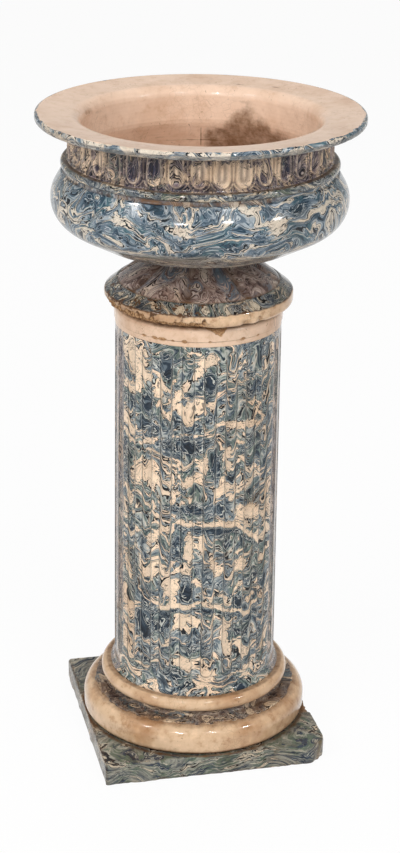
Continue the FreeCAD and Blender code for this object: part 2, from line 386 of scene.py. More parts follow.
def combine(tree, x, y, z):
    """A vector from its three parts."""
    node = tree.nodes.new("ShaderNodeCombineXYZ")
    for socket, value in zip(node.inputs, (x, y, z)):
        feed(tree, socket, value)
    return node.outputs[0]


def parts_of(tree, vector):
    """The three parts of a vector."""
    node = tree.nodes.new("ShaderNodeSeparateXYZ")
    feed(tree, node.inputs[0], vector)
    return node.outputs


def painted(tree, mask):
    """A mask that was painted on the mesh."""
    node = tree.nodes.new("ShaderNodeAttribute")
    node.attribute_name = mask
    return node.outputs["Fac"]


def srgb(red, green, blue):
    """A colour as it is seen on a screen, 0 to 255, as the linear colour that nodes want."""
    seen = np.array([red, green, blue]) / 255
    linear = np.where(seen <= 0.04045, seen / 12.92, ((seen + 0.055) / 1.055) ** 2.4)
    return (*linear.tolist(), 1.0)


def new_group(name, inputs, outputs):
    """An empty node group with its sockets, as (tree, its inputs, its output node)."""
    tree = bpy.data.node_groups.new(name, "ShaderNodeTree")
    for socket, (kind, value) in inputs.items():
        made = tree.interface.new_socket(socket, in_out="INPUT", socket_type=kind)
        if value is not None:
            made.default_value = value
    for socket, kind in outputs.items():
        tree.interface.new_socket(socket, in_out="OUTPUT", socket_type=kind)
    return tree, tree.nodes.new("NodeGroupInput").outputs, tree.nodes.new("NodeGroupOutput").inputs


def use_group(tree, group, values):
    """A group placed in a tree, with its own values."""
    node = tree.nodes.new("ShaderNodeGroup")
    node.node_tree = group
    for socket, value in values.items():
        feed(tree, node.inputs[socket], value)
    return node.outputs


FLOAT = "NodeSocketFloat"
COLOUR = "NodeSocketColor"
PLACE = "NodeSocketVector"

# %% [markdown]
# ## Marbled clay
#
# A potter stacks sheets of blue, slate and cream clay, folds the stack, twists it and slices it.
# The result isn't random speckle: the colours lie in thin layers that have been bent. It could
# be contour lines of a noise, but those close into rings like a map's hills. So the group bends
# space first, strongly and coarsely, then finely, and reads a noise that is long along the level
# layers and thin across them. Layers then fold over each other and thin out as the clay does.
# Where the value is high cream comes to the surface with its dark outline, and where it is low
# deep clay does. A mask painted on the mesh can push it either way.

# %% The marbled clay group
NO_COLOUR = (0.5, 0.5, 0.5, 1.0)
MM_PER_METRE = 1000.0
RAG_SIZE = 7.0          # mm, the smallest bends
RAG = 3.2
TINT_SIZE = 40.0        # mm, how far one tint of the middle clay reaches
SOFT_EDGE = 0.012       # of the noise's range, between two clays that have smeared
SHARP_EDGE = 0.006      # and between two that haven't
LINE_SHARE = 0.040      # the dark line round cream clay
VEIN_AT = 0.070         # the thin dark vein inside cream clay
VEIN_HALF = 0.008
PALE_LINE_AT = 0.07     # the pale line inside deep clay
VEIN_SHARE = 0.7
STREAKS_PER_LAYER = 3.1
LIGHT_STREAK, DARK_STREAK = (0.52, 0.60), (0.46, 0.38)
PALE_FROM = 0.55        # of the way from deep clay up to cream
GRIT_PER_MM = 0.45
GRIT_RANGE = {"From Min": 0.3, "From Max": 0.7, "To Min": 0.78, "To Max": 1.14}


def make_marbled_clay():
    tree, given, result = new_group("marbled_clay", {
        "Place": (PLACE, None), "Stretch": (PLACE, (1, 1, 1)), "Seed": (PLACE, (0, 0, 0)),
        "Fold size": (FLOAT, 60.0), "Fold": (FLOAT, 110.0),
        "Curl size": (FLOAT, 23.0), "Curl": (FLOAT, 38.0),
        "Layer": (FLOAT, 9.0), "Run": (FLOAT, 0.15), "Follow": (FLOAT, 0.0),
        "Cream share": (FLOAT, 0.57), "Deep share": (FLOAT, 0.43), "Streaks": (FLOAT, 0.6),
        "Cream": (COLOUR, NO_COLOUR), "Pale": (COLOUR, NO_COLOUR), "Middle": (COLOUR, NO_COLOUR),
        "Tint": (COLOUR, NO_COLOUR), "Deep": (COLOUR, NO_COLOUR), "Line": (COLOUR, NO_COLOUR),
    }, {"Color": COLOUR})

    def bent(place, size, strength):
        """Place pushed about by noise of this size, by up to this many millimetres."""
        push = cloud(tree, place, calculate(tree, "DIVIDE", 1.0, size), 1.0).outputs["Color"]
        push = move(tree, "SUBTRACT", push, (0.5, 0.5, 0.5))
        return move(tree, "ADD", place, move(tree, "SCALE", push, strength))

    place = move(tree, "SCALE", given["Place"], MM_PER_METRE)
    place = move(tree, "MULTIPLY", place, given["Stretch"])
    place = move(tree, "ADD", place, given["Seed"])
    place = bent(place, given["Fold size"], given["Fold"])
    place = bent(place, given["Curl size"], given["Curl"])
    place = bent(place, RAG_SIZE, RAG)

    # which clay of the stack lies here
    stack = move(tree, "MULTIPLY", place, combine(tree, given["Run"], given["Run"], 1.0))
    thin = calculate(tree, "DIVIDE", 1.0, given["Layer"])
    value = noise(tree, stack, thin, 3.0, 0.66)
    value = plus(tree, value, given["Follow"])

    def over(level, edge):
        """1 where the value is over this level."""
        return step_up(tree, value, minus(tree, level, edge), plus(tree, level, edge))

    # each clay has fine streaks of its neighbours in it
    fine = noise(tree, stack, times(tree, thin, STREAKS_PER_LAYER), 2.0, 0.6)
    light = times(tree, step_up(tree, fine, *LIGHT_STREAK), given["Streaks"])
    dark = times(tree, step_up(tree, fine, *DARK_STREAK), given["Streaks"])

    def streaked(colour, lighter, darker):
        colour = blend_colour(tree, light, colour, lighter)
        return blend_colour(tree, dark, colour, darker)

    broad = noise(tree, place, 1 / TINT_SIZE, 1.0)
    middle = blend_colour(tree, step_up(tree, broad, 0.45, 0.60), given["Middle"], given["Tint"])
    middle = streaked(middle, given["Pale"], given["Deep"])
    deep = streaked(given["Deep"], given["Middle"], given["Line"])
    pale = streaked(given["Pale"], given["Cream"], given["Middle"])

    # from the deepest clay up to cream
    cream_at, deep_at = given["Cream share"], given["Deep share"]
    gap = minus(tree, cream_at, deep_at)
    pale_at = calculate(tree, "MULTIPLY_ADD", gap, PALE_FROM, deep_at)
    colour = blend_colour(tree, over(deep_at, SOFT_EDGE), deep, middle)
    colour = blend_colour(tree, over(pale_at, SOFT_EDGE), colour, pale)
    line_at = minus(tree, cream_at, LINE_SHARE)
    colour = blend_colour(tree, over(line_at, SHARP_EDGE), colour, given["Line"])
    colour = blend_colour(tree, over(cream_at, SHARP_EDGE), colour, given["Cream"])
    vein = calculate(tree, "COMPARE", value, plus(tree, cream_at, VEIN_AT), VEIN_HALF)
    colour = blend_colour(tree, times(tree, vein, VEIN_SHARE), colour, given["Line"])
    pale_line = calculate(tree, "COMPARE", value,
                          minus(tree, deep_at, PALE_LINE_AT), SOFT_EDGE)
    colour = blend_colour(tree, pale_line, colour, given["Pale"])

    # no clay is quite even
    grit = noise(tree, place, GRIT_PER_MM, 2.0, 0.6)
    shade = tree.nodes.new("ShaderNodeMapRange")
    tree.links.new(grit, shade.inputs["Value"])
    for socket, value in GRIT_RANGE.items():
        shade.inputs[socket].default_value = value
    tree.links.new(move(tree, "SCALE", colour, shade.outputs["Result"]), result["Color"])
    return tree


marbled_clay = make_marbled_clay()
print("group", marbled_clay.name, "with", len(marbled_clay.nodes), "nodes")

# %% [markdown]
# ## Plain clay
#
# The cream rolls, collar and slip are one clay, but no two square inches of it are the same. A
# flat colour would look like plastic, so this group clouds it broadly with a warmer shade and
# then mottles it finely, darker and lighter, as thin glaze over a brushed slip looks.

# %% The plain clay group
CLOUDS_PER_METRE, SPOTS_PER_METRE = 9.0, 70.0
BRIGHTER = 1.22


def make_plain_clay():
    tree, given, result = new_group("plain_clay", {
        "Place": (PLACE, None), "Clay": (COLOUR, NO_COLOUR),
        "Shade": (COLOUR, srgb(196, 164, 128)), "Clouds": (FLOAT, 0.4), "Mottle": (FLOAT, 0.4),
    }, {"Color": COLOUR})
    soft = noise(tree, given["Place"], CLOUDS_PER_METRE, 4.0, 0.6)
    clouds = times(tree, step_up(tree, soft, 0.45, 0.75), given["Clouds"])
    colour = blend_colour(tree, clouds, given["Clay"], given["Shade"], "MULTIPLY")
    spots = noise(tree, given["Place"], SPOTS_PER_METRE, 4.0, 0.7)
    darker = times(tree, step_up(tree, spots, 0.50, 0.70), given["Mottle"])
    lighter = times(tree, step_up(tree, spots, 0.48, 0.32), given["Mottle"])
    colour = blend_colour(tree, darker, colour, given["Shade"], "MULTIPLY")
    brighter = move(tree, "SCALE", colour, BRIGHTER)
    tree.links.new(blend_colour(tree, lighter, colour, brighter), result["Color"])
    return tree


plain_clay = make_plain_clay()
print("group", plain_clay.name, "with", len(plain_clay.nodes), "nodes")

# %% [markdown]
# ## Age
#
# The glaze has crazed, dirt has settled in the hollows and lifted edges are worn. These three
# effects are on every piece, so they are one group: it darkens where a mask of dirt and painted
# shade was painted (some pieces put painted shade under overhangs into it), breaks that mask up,
# and gives a roughness to match, because dirt is dull and glaze is not.

# %% The old glaze group
# how many stains, cracks, specks and crumbs fit in a metre
STAINS, CRACKS, CRACKED_AREAS, SPECKS = 14.0, 130.0, 22.0, 210.0
GRIME, CRUMBS, ORANGE_PEEL = 95.0, 420.0, 60.0
CRACK_WIDTH = 0.045
SPECK_SHARE = 0.45
BROKEN_UP = 0.9          # how far the fine noise moves the edge of a dirt mask
BARE_CRUMB = srgb(190, 152, 112)
CLEAN_ROUGHNESS, DIRT_ROUGHNESS, CHIP_ROUGHNESS, UNEVEN_ROUGHNESS = 0.12, 0.40, 0.62, 0.16
CRACK_RELIEF, PEEL_RELIEF = 0.4, 0.35


def make_old_glaze():
    tree, given, result = new_group("old_glaze", {
        "Place": (PLACE, None), "Color": (COLOUR, NO_COLOUR), "Dirt and shade mask": (FLOAT, 0.0),
        "Dirt and shade color": (COLOUR, srgb(96, 68, 44)), "Chip mask": (FLOAT, 0.0),
        "Chip color": (COLOUR, srgb(146, 108, 76)), "Stain": (FLOAT, 0.3),
        "Stain color": (COLOUR, srgb(196, 160, 118)), "Crazing": (FLOAT, 0.2),
    }, {"Color": COLOUR, "Roughness": FLOAT, "Relief": FLOAT})

    # broad tea-coloured staining
    broad = noise(tree, given["Place"], STAINS, 4.0, 0.62)
    stain = times(tree, step_up(tree, broad, 0.46, 0.72), given["Stain"])
    colour = blend_colour(tree, stain, given["Color"], given["Stain color"], "MULTIPLY")

    # hair cracks in the glaze
    net = tree.nodes.new("ShaderNodeTexVoronoi")
    net.feature = "DISTANCE_TO_EDGE"
    net.inputs["Scale"].default_value = CRACKS
    tree.links.new(given["Place"], net.inputs["Vector"])
    crack = minus(tree, 1.0, step_up(tree, net.outputs["Distance"], 0.0, CRACK_WIDTH))
    areas = noise(tree, given["Place"], CRACKED_AREAS, 2.0)
    patchy = step_up(tree, areas, 0.48, 0.62)
    crack = times(tree, times(tree, crack, patchy), given["Crazing"])
    colour = blend_colour(tree, crack, colour, given["Dirt and shade color"])

    # scattered specks
    specks = noise(tree, given["Place"], SPECKS, 2.0, 0.6)
    specks = times(tree, step_up(tree, specks, 0.69, 0.74), SPECK_SHARE)
    colour = blend_colour(tree, specks, colour, given["Dirt and shade color"])

    # dirt and painted shade where the mask says, broken up so that it never has a drawn edge
    fine = noise(tree, given["Place"], GRIME, 5.0, 0.65)
    broken = calculate(tree, "MULTIPLY_ADD", fine, BROKEN_UP, -BROKEN_UP / 2)
    dirt_and_shade = plus(tree, given["Dirt and shade mask"], broken)
    dirt_and_shade = times(tree, step_up(tree, dirt_and_shade, 0.12, 0.95),
                 step_up(tree, given["Dirt and shade mask"], 0.0, 0.12))
    colour = blend_colour(tree, dirt_and_shade, colour, given["Dirt and shade color"])

    # bare broken clay
    crumb = noise(tree, given["Place"], CRUMBS, 3.0)
    bare = blend_colour(tree, step_up(tree, crumb, 0.35, 0.70), given["Chip color"], BARE_CRUMB)
    colour = blend_colour(tree, given["Chip mask"], colour, bare)

    # dirt and bare clay are dull, and no glaze is quite level
    dull = calculate(tree, "MAXIMUM", times(tree, dirt_and_shade, DIRT_ROUGHNESS),
                     times(tree, given["Chip mask"], CHIP_ROUGHNESS))
    dull = plus(tree, dull, times(tree, broad, UNEVEN_ROUGHNESS))
    roughness = plus(tree, dull, CLEAN_ROUGHNESS)
    relief = plus(tree, times(tree, fine, dirt_and_shade), times(tree, crumb, given["Chip mask"]))
    relief = minus(tree, relief, times(tree, crack, CRACK_RELIEF))
    orange_peel = noise(tree, given["Place"], ORANGE_PEEL, 2.0)
    relief = plus(tree, relief, times(tree, orange_peel, PEEL_RELIEF))
    tree.links.new(colour, result["Color"])
    tree.links.new(roughness, result["Roughness"])
    tree.links.new(relief, result["Relief"])
    return tree


old_glaze = make_old_glaze()
print("group", old_glaze.name, "with", len(old_glaze.nodes), "nodes")

# %% [markdown]
# ## The finishes
#
# Each finish is one Principled shader: a coloured body under a clear coat, which is what a
# glazed pot is. The coat's own roughness and the index of refraction are the same all over, so
# they are set on the shader itself.

# %% One finish from its clay and its age
COAT_ROUGHNESS = 0.07
COAT_INDEX = 1.42
COAT_SHARE = 0.38
GLAZE_INDEX = 1.52
BODY_GLOSS = 0.15
RELIEF_STRENGTH = 0.5
RELIEF_DEPTH = 0.4 * MM


def finish_from(name, body_colour, age, coat=COAT_SHARE):
    """A material whose body colour is made by body_colour(tree, place), then aged."""
    material = bpy.data.materials.new(name)
    material.use_nodes = True
    tree = material.node_tree
    shader = tree.nodes["Principled BSDF"]
    place = tree.nodes.new("ShaderNodeTexCoord").outputs["Object"]
    colour = body_colour(tree, place)
    aged = use_group(tree, old_glaze, {
        "Place": place, "Color": colour, "Dirt and shade mask": painted(tree, "dirt_and_shade"),
        "Chip mask": painted(tree, "chip"), **age,
    })
    bump = tree.nodes.new("ShaderNodeBump")
    bump.inputs["Strength"].default_value = RELIEF_STRENGTH
    bump.inputs["Distance"].default_value = RELIEF_DEPTH
    tree.links.new(aged["Relief"], bump.inputs["Height"])
    tree.links.new(aged["Color"], shader.inputs["Base Color"])
    tree.links.new(aged["Roughness"], shader.inputs["Roughness"])
    tree.links.new(bump.outputs["Normal"], shader.inputs["Normal"])
    lost = times(tree, painted(tree, "chip"), coat)
    tree.links.new(minus(tree, coat, lost), shader.inputs["Coat Weight"])
    shader.inputs["Coat Roughness"].default_value = COAT_ROUGHNESS
    shader.inputs["Coat IOR"].default_value = COAT_INDEX
    shader.inputs["IOR"].default_value = GLAZE_INDEX
    shader.inputs["Specular IOR Level"].default_value = BODY_GLOSS
    return material


# %% The clays
pink_cream = srgb(232, 203, 180)
collar_cream = srgb(224, 195, 170)
ochre_cream = srgb(214, 183, 150)


def clays(cream, pale, middle, tint, deep, line):
    return {"Cream": srgb(*cream), "Pale": srgb(*pale), "Middle": srgb(*middle),
            "Tint": srgb(*tint), "Deep": srgb(*deep), "Line": srgb(*line)}


blue_clays = clays((242, 216, 188), (200, 200, 192), (112, 125, 133), (104, 119, 112),
                   (38, 52, 66), (18, 24, 30))
side_clays = clays((222, 200, 182), (200, 190, 182), (150, 144, 144), (128, 132, 122),
                   (84, 84, 94), (40, 38, 44))
belly_clays = clays((214, 203, 187), (170, 178, 182), (104, 120, 134), (72, 102, 112),
                    (44, 66, 82), (22, 32, 40))
under_clays = clays((196, 180, 160), (164, 160, 154), (122, 118, 112), (102, 104, 96),
                    (74, 78, 82), (46, 42, 40))
frieze_clays = clays((236, 210, 182), (190, 174, 166), (128, 112, 118), (104, 112, 104),
                     (42, 46, 68), (24, 22, 30))
bead_clays = clays((206, 192, 170), (172, 172, 166), (104, 110, 114), (90, 100, 84),
                   (50, 60, 72), (28, 28, 30))
dome_clays = clays((208, 190, 174), (182, 164, 154), (144, 122, 114), (106, 116, 126),
                   (98, 80, 76), (50, 44, 46))
scotia_clays = clays((216, 192, 164), (160, 148, 136), (128, 106, 92), (84, 104, 112),
                     (66, 60, 64), (34, 30, 28))
plinth_clays = clays((196, 182, 160), (160, 158, 146), (118, 118, 110), (96, 108, 92),
                     (56, 66, 80), (34, 36, 40))


print("middle blue", [round(part, 3) for part in blue_clays["Middle"][:3]])


def marbled(own_clays, follow=None, **shape):
    """A body colour of marbled clay, pushed by a painted mask if one is named."""
    def body_colour(tree, place):
        values = {"Place": place, **own_clays, **shape}
        if follow:
            values["Follow"] = painted(tree, follow)
        return use_group(tree, marbled_clay, values)["Color"]
    return body_colour


def plain(colour, **shape):
    """A body colour of plain clay."""
    def body_colour(tree, place):
        return use_group(tree, plain_clay, {"Place": place, "Clay": colour, **shape})["Color"]
    return body_colour


# %% The column's own clay
FLUTE_DIP = 12 * MM      # how far the layers dip in a flute
ARRIS_AT = 0.3           # mm inside a flute's edge
ARRIS_DARK, ARRIS_LEAST = 0.42, 0.12
HOLLOW_SHARE = 0.16
HOLLOW_SHADE = srgb(130, 144, 158)
PALE_BESIDE_AT = -1.1    # mm, outside a flute's edge, where the glaze runs thin
PALE_BESIDE = 0.30


def shaft_colour(tree, place):
    """Level layers that dip in each flute, upright streaks at the mould's seams, and dark arrises
    and darker hollows that are partly painted shade.
    """
    dip = combine(tree, 0.0, 0.0, times(tree, painted(tree, "dip"), FLUTE_DIP))
    front = marbled(blue_clays, "follow", **{
        "Seed": (40, 10, 0), "Fold size": 45.0, "Fold": 62.0, "Curl size": 27.0, "Curl": 48.0,
        "Layer": 11.0, "Run": 0.2, "Cream share": 0.555, "Deep share": 0.43, "Streaks": 0.7})
    sides = marbled(side_clays, **{
        "Seed": (70, 30, 90), "Stretch": (1.0, 1.0, 0.25), "Fold": 20.0, "Curl": 12.0,
        "Layer": 6.0, "Run": 1.6})
    ragged = noise(tree, place, 30.0, 2.0)
    side = plus(tree, painted(tree, "side"), minus(tree, ragged, 0.5))
    colour = blend_colour(tree, step_up(tree, side, 0.45, 0.55),
                          front(tree, move(tree, "ADD", place, dip)), sides(tree, place))
    # the dark line just inside each flute's edge is partly dirt gathered there and partly painted
    # shade
    groove = painted(tree, "groove")
    from_arris = calculate(tree, "ABSOLUTE", minus(tree, groove, ARRIS_AT))
    arris = step_up(tree, from_arris, 1.1, 0.2)
    broken = step_up(tree, noise(tree, place, 45.0, 2.0), 0.32, 0.5)
    arris = times(tree, arris, calculate(tree, "MULTIPLY_ADD", broken, ARRIS_DARK, ARRIS_LEAST))
    # the flutes' hollows are painted darker and bluer: painted shade, partly pooled glaze
    hollow = times(tree, step_up(tree, groove, 0.0, 2.5), HOLLOW_SHARE)
    colour = blend_colour(tree, hollow, colour, HOLLOW_SHADE, "MULTIPLY")
    beside = calculate(tree, "ABSOLUTE", minus(tree, groove, PALE_BESIDE_AT))
    beside = times(tree, step_up(tree, beside, 0.7, 0.2), PALE_BESIDE)
    colour = blend_colour(tree, beside, colour, blue_clays["Pale"])
    return blend_colour(tree, arris, colour, blue_clays["Line"])


# %% Finishes of the stand
shaft_finish = finish_from("marbled_shaft_glaze", shaft_colour, {"Stain": 0.35, "Crazing": 0.1})
plinth_finish = finish_from(
    "marbled_plinth_glaze",
    marbled(plinth_clays, "follow", **{
        "Seed": (400, 90, 0), "Fold size": 70.0, "Fold": 70.0, "Curl": 14.0, "Layer": 7.0,
        "Run": 0.1, "Cream share": 0.62}),
    {"Stain": 0.7, "Crazing": 0.2}, coat=0.12)
roll_finish = finish_from(
    "cream_roll_glaze", plain(ochre_cream, Mottle=0.5, Clouds=0.6),
    {"Stain": 0.6, "Crazing": 0.35, "Dirt and shade color": srgb(112, 80, 52)}, coat=0.55)
scotia_finish = finish_from(
    "marbled_scotia_glaze",
    marbled(scotia_clays, **{"Seed": (12, 300, 70), "Fold": 60.0, "Curl": 20.0, "Layer": 6.0}),
    {"Stain": 0.7})
collar_finish = finish_from("cream_collar_glaze", plain(collar_cream, Mottle=0.3),
                            {"Stain": 0.35, "Crazing": 0.3})
print("finishes of the stand", len(bpy.data.materials))

# %% Finishes of the pot


def two_faced(outside, inside):
    """Marbled clay outside and cream slip where the slip mask was painted."""
    def body_colour(tree, place):
        return blend_colour(tree, painted(tree, "slip"), outside(tree, place), inside(tree, place))
    return body_colour


def bowl_outside(tree, place):
    """Bold swirls on the belly and level brown streaks on the underside."""
    belly = marbled(belly_clays, "follow", **{
        "Seed": (0, 0, 210), "Fold size": 70.0, "Fold": 170.0, "Layer": 11.0, "Run": 0.1,
        "Streaks": 0.8})
    under = marbled(under_clays, **{
        "Seed": (30, 0, 10), "Fold": 30.0, "Curl": 6.0, "Layer": 5.0, "Run": 0.05,
        "Cream share": 0.60})
    return blend_colour(tree, painted(tree, "under"), belly(tree, place), under(tree, place))


POOLED_GLAZE_AND_SHADE = srgb(76, 70, 88)
THIN_GLAZE_AND_HIGHLIGHT = 0.5


def frieze_colour(tree, place):
    """The glaze runs thin and pale over the leaves' rims and pools dark in their hollows; the rims
    also carry painted highlight and the hollows painted shade.
    """
    colour = marbled(frieze_clays, "follow", **{
        "Seed": (80, 0, 33), "Stretch": (1.0, 1.0, 0.5), "Layer": 8.0, "Run": 0.4,
        "Streaks": 0.8})(tree, place)
    pooled_and_shaded = blend_colour(tree, painted(tree, "pool_and_shade"), colour, POOLED_GLAZE_AND_SHADE, "MULTIPLY")
    thin = times(tree, painted(tree, "ridge_and_highlight"), THIN_GLAZE_AND_HIGHLIGHT)
    return blend_colour(tree, thin, pooled_and_shaded, frieze_clays["Cream"])


FAN_RADIUS = 60 * MM     # the clay is read on a cylinder this wide
FAN_CLIMB = 0.45


def dome_colour(tree, place):
    """Layers pulled into streaks that run up to the stem."""
    x, y, _ = parts_of(tree, place)
    away = calculate(tree, "SQRT", plus(tree, times(tree, x, x), times(tree, y, y)))
    ring = calculate(tree, "DIVIDE", FAN_RADIUS, away)
    fanned = combine(tree, times(tree, x, ring), times(tree, y, ring), times(tree, away, FAN_CLIMB))
    return marbled(dome_clays, "follow", **{
        "Seed": (150, 20, 0), "Cream share": 0.62, "Fold size": 40.0, "Fold": 100.0,
        "Layer": 8.0, "Run": 0.3})(tree, fanned)


bowl_finish = finish_from(
    "bowl_glaze", two_faced(bowl_outside, plain(pink_cream, Mottle=0.2, Clouds=0.3)),
    {"Stain": 0.25, "Crazing": 0.2, "Dirt and shade color": srgb(118, 86, 60)})
bead_finish = finish_from(
    "marbled_bead_glaze",
    marbled(bead_clays, **{"Seed": (5, 60, 9), "Fold": 60.0, "Curl": 20.0, "Layer": 6.0}),
    {"Stain": 0.35})
frieze_finish = finish_from("marbled_frieze_glaze", frieze_colour, {"Stain": 0.4})
ring_finish = finish_from(
    "foot_ring_glaze",
    two_faced(marbled(bead_clays, "follow", **{"Seed": (9, 220, 0), "Curl": 26.0, "Layer": 8.0}),
              plain(ochre_cream, Mottle=0.6)),
    {"Stain": 0.5, "Crazing": 0.3, "Dirt and shade color": srgb(84, 56, 34),
     "Chip color": srgb(108, 76, 50)})
dome_finish = finish_from("marbled_dome_glaze", dome_colour, {"Stain": 0.5}, coat=0.25)
print("finishes", len(bpy.data.materials))

# %% [markdown]
# ## The plinth
#
# The plinth is a square slab, open beneath, pressed from marbled clay. Its section is swept
# like the turned pieces, but each point slides from a circle, at the hole under the column,
# to a rounded square, at the outside. That keeps the rows of points parallel to the edges, so
# worn corners and the rough lower edge can be carved along them.

# %% The plinth
plinth_wall = 14 * MM
plinth_deck = 11 * MM
plinth_bore = 112 * MM
plinth_corner = 4 * MM
plinth_arris = 2 * MM
plinth_around = 880
low_edge_wear = 1.8 * MM
high_edge_wear = 1.2 * MM
corner_loss = 8 * MM
strip_loss, strip_raggedness = 3.5 * MM, 2 * MM
front_nick_loss = 3 * MM
strip_left, strip_right = -70 * MM, -22 * MM


def rounded_square(half, corner, around):
    """Points round a square with rounded corners, evenly spaced along it."""
    straight = half - corner
    quarter = math.pi * corner / 2
    side = 2 * straight + quarter
    along = np.arange(around) / around * 4 * side
    face = np.floor(along / side).astype(int)
    rest = along - face * side
    flat = rest < 2 * straight
    bend = (rest - 2 * straight) / corner
    across = np.where(flat, -straight + rest, straight + corner * np.sin(np.maximum(bend, 0)))
    out = np.where(flat, half, straight + corner * np.cos(np.maximum(bend, 0)))
    turn = face * math.pi / 2
    return out * np.cos(turn) - across * np.sin(turn), out * np.sin(turn) + across * np.cos(turn)


def plinth_section():
    """(share of the way out, inset from the side, height) round the slab's section."""
    edge = []
    for k in range(5):
        turn = math.pi / 2 * (1 - k / 4)
        edge.append((1, plinth_arris * (1 - math.cos(turn)),
                     plinth_top - plinth_arris * (1 - math.sin(turn))))
    deck = [(k / 24, plinth_arris * k / 24, plinth_top) for k in range(24)]
    tall = plinth_top - plinth_arris
    side = [(1, 0, tall - tall * k / 20) for k in range(1, 21)]
    inner = plinth_top - plinth_deck
    under = [(1, plinth_wall * k / 6, 0) for k in range(1, 7)]
    hollow = [(1, plinth_wall, inner * k / 4) for k in range(1, 5)]
    ceiling = [(1 - k / 8, plinth_wall * (1 - k / 8), inner) for k in range(1, 9)]
    return np.array(deck + edge + side + under + hollow + ceiling)


share, inset, level = plinth_section().T
outer_x, outer_y = rounded_square(plinth_half, plinth_corner, plinth_around)
bearing = np.arctan2(outer_y, outer_x)
slide = share[:, None]
keep = 1 - inset[:, None] / plinth_half
x = (1 - slide) * plinth_bore * np.cos(bearing) + slide * outer_x * keep
y = (1 - slide) * plinth_bore * np.sin(bearing) + slide * outer_y * keep
z = np.repeat(level[:, None], plinth_around, axis=1)
outside = np.clip((share - 0.7) / 0.3, 0, 1) * (1 - inset / plinth_wall)
outside = np.repeat(outside[:, None], plinth_around, axis=1)

# a rough lower edge, worn upper arrises, a worn front right corner and a strip broken away
rough = grain(x, y, z, 5 * MM, 3)
coarse = grain(x, y, z, 16 * MM, 8)
low_edge = outside * (1 - rise(z, 0, 5 * MM))
high_edge = outside * rise(z, plinth_top - 5 * MM, plinth_top)
corner_gap = np.hypot(x - plinth_half, y + plinth_half)
corner_wear = spot(corner_gap, 24 * MM) * outside * (1.15 - 0.5 * z / plinth_top)
strip = span(y, strip_left, strip_right, 1.2 * MM) * (x > plinth_bore) * rise(z, 8 * MM, 16 * MM)
strip = strip * (1 - 0.7 * rise(y, strip_left + 8 * MM, strip_right)) * outside
front_nick = spot(np.hypot(x + plinth_half, y + plinth_half) + (plinth_top - z), 9 * MM)
wear = low_edge * coarse * low_edge_wear + high_edge * rough * high_edge_wear
wear = wear + corner_wear * corner_loss + strip * (strip_loss + strip_raggedness * rough)
wear = wear + front_nick * front_nick_loss
shrink = 1 - wear / plinth_half
x = x * shrink
y = y * shrink
z = z + outside * (z < 0.5 * MM) * rough * 0.8 * MM
z = z - (share[:, None] < 1) * (level[:, None] > plinth_deck) * coarse * 0.5 * MM

# degrees right of front, level in mm, half width in degrees, half height in mm,
# slope in mm per degree, strength: the same for every list of places
plinth_places = ((-40, 28, 7, 5, 0, 0.10), (28, 24, 6, 9, 0.5, 0.12), (12, 12, 9, 4, 0, 0.08))
foot_gap = np.hypot(x, y) - lower_roll_radius
on_top = rise(z, plinth_top - 3 * MM, plinth_top - 1 * MM)
left_side = x < 3 * MM - plinth_half
plinth_dirt = 0.5 * spot(np.abs(foot_gap), 6 * MM) * on_top + 0.22 * coarse
plinth_dirt = plinth_dirt + 0.12 * on_top + 0.25 * left_side + 0.30 * low_edge + 0.4 * strip
make_piece("plinth_slab", x, y, z,
           {"dirt_and_shade": plinth_dirt, "chip": 0.35 * corner_wear + 0.6 * strip,
            "follow": patches(np.arctan2(y, x), z, plinth_places)},
           "plinth", "stand", plinth_finish)

# %% [markdown]
# ## The rolls and the hollow between them
#
# Two cream rolls were turned as rings and luted under the column, with a dark marbled hollow
# between them. They are true circles on the real stand, apart from a slight wobble, and dirt
# has settled where each one meets its neighbour.

# %% The lower roll
wobble = 0.35 * MM
ring_bore = 112 * MM
shaft_bore = 100 * MM
roll_around = 480
lower_top_round = 19 * MM
lower_foot_round = 9 * MM
hidden = 12 * MM

radius, height, turn, run = swept([
    (ring_bore, lower_roll_foot, 0, hidden),
    (lower_roll_radius, lower_roll_foot, lower_foot_round, 2 * MM),
    (lower_roll_radius, lower_roll_top, lower_top_round, 2 * MM),
    (ring_bore, lower_roll_top, 0, hidden),
], roll_around)
visible = rise(radius, lower_roll_radius - 16 * MM, lower_roll_radius - 8 * MM)
radius = wobbled(radius, visible, wobble, turn, height, 11)
# darker towards the roll's foot: strongly over the lowest 8 mm and gently over the lowest 20 mm
low_darkening = 1 - rise(height, lower_roll_foot, lower_roll_foot + 8 * MM)
low_darkening = low_darkening + 0.4 * (1 - rise(height, lower_roll_foot + 2 * MM, lower_roll_foot + 20 * MM))
high_dirt = rise(height, lower_roll_top - 5 * MM, lower_roll_top)
pits = spot(np.abs(front_angle(turn) - 25) / 2.0, 1) * spot(np.abs(height - 0.055), 3 * MM)
turned_piece("lower_roll_ring", radius, height, turn,
             {"dirt_and_shade": 0.85 * low_darkening + 0.55 * high_dirt + 0.5 * pits},
             "lower_roll", "stand", roll_finish)

# %% The hollow moulding
hollow_throat = 121.2 * MM
hollow_edge = 2.5 * MM
radius, height, turn, run = swept([
    (shaft_bore, scotia_foot, 0, hidden),
    (scotia_radius, scotia_foot, 0, 1 * MM),
    (scotia_radius, scotia_foot + hollow_edge, 0.8 * MM, 1.2 * MM),
    (hollow_throat, scotia_foot + 1.5 * hollow_edge, 6 * MM, 1 * MM),
    (hollow_throat + 3.5 * MM, scotia_top, 0, hidden),
    (shaft_bore, scotia_top, 0, hidden),
], 720)
lip = rise(radius, scotia_radius - 2 * MM, scotia_radius)
broken = grain(radius * np.cos(turn), radius * np.sin(turn), height, 9 * MM, 21)
worn_lip = lip * rise(broken, 0.45, 0.65)
radius = radius - worn_lip * 1.6 * MM
turned_piece("hollow_moulding", radius, height, turn,
             {"dirt_and_shade": 0.30 * (1 - lip) * broken + 0.2 * (1 - lip), "chip": 0.5 * worn_lip},
             "scotia", "stand", scotia_finish)

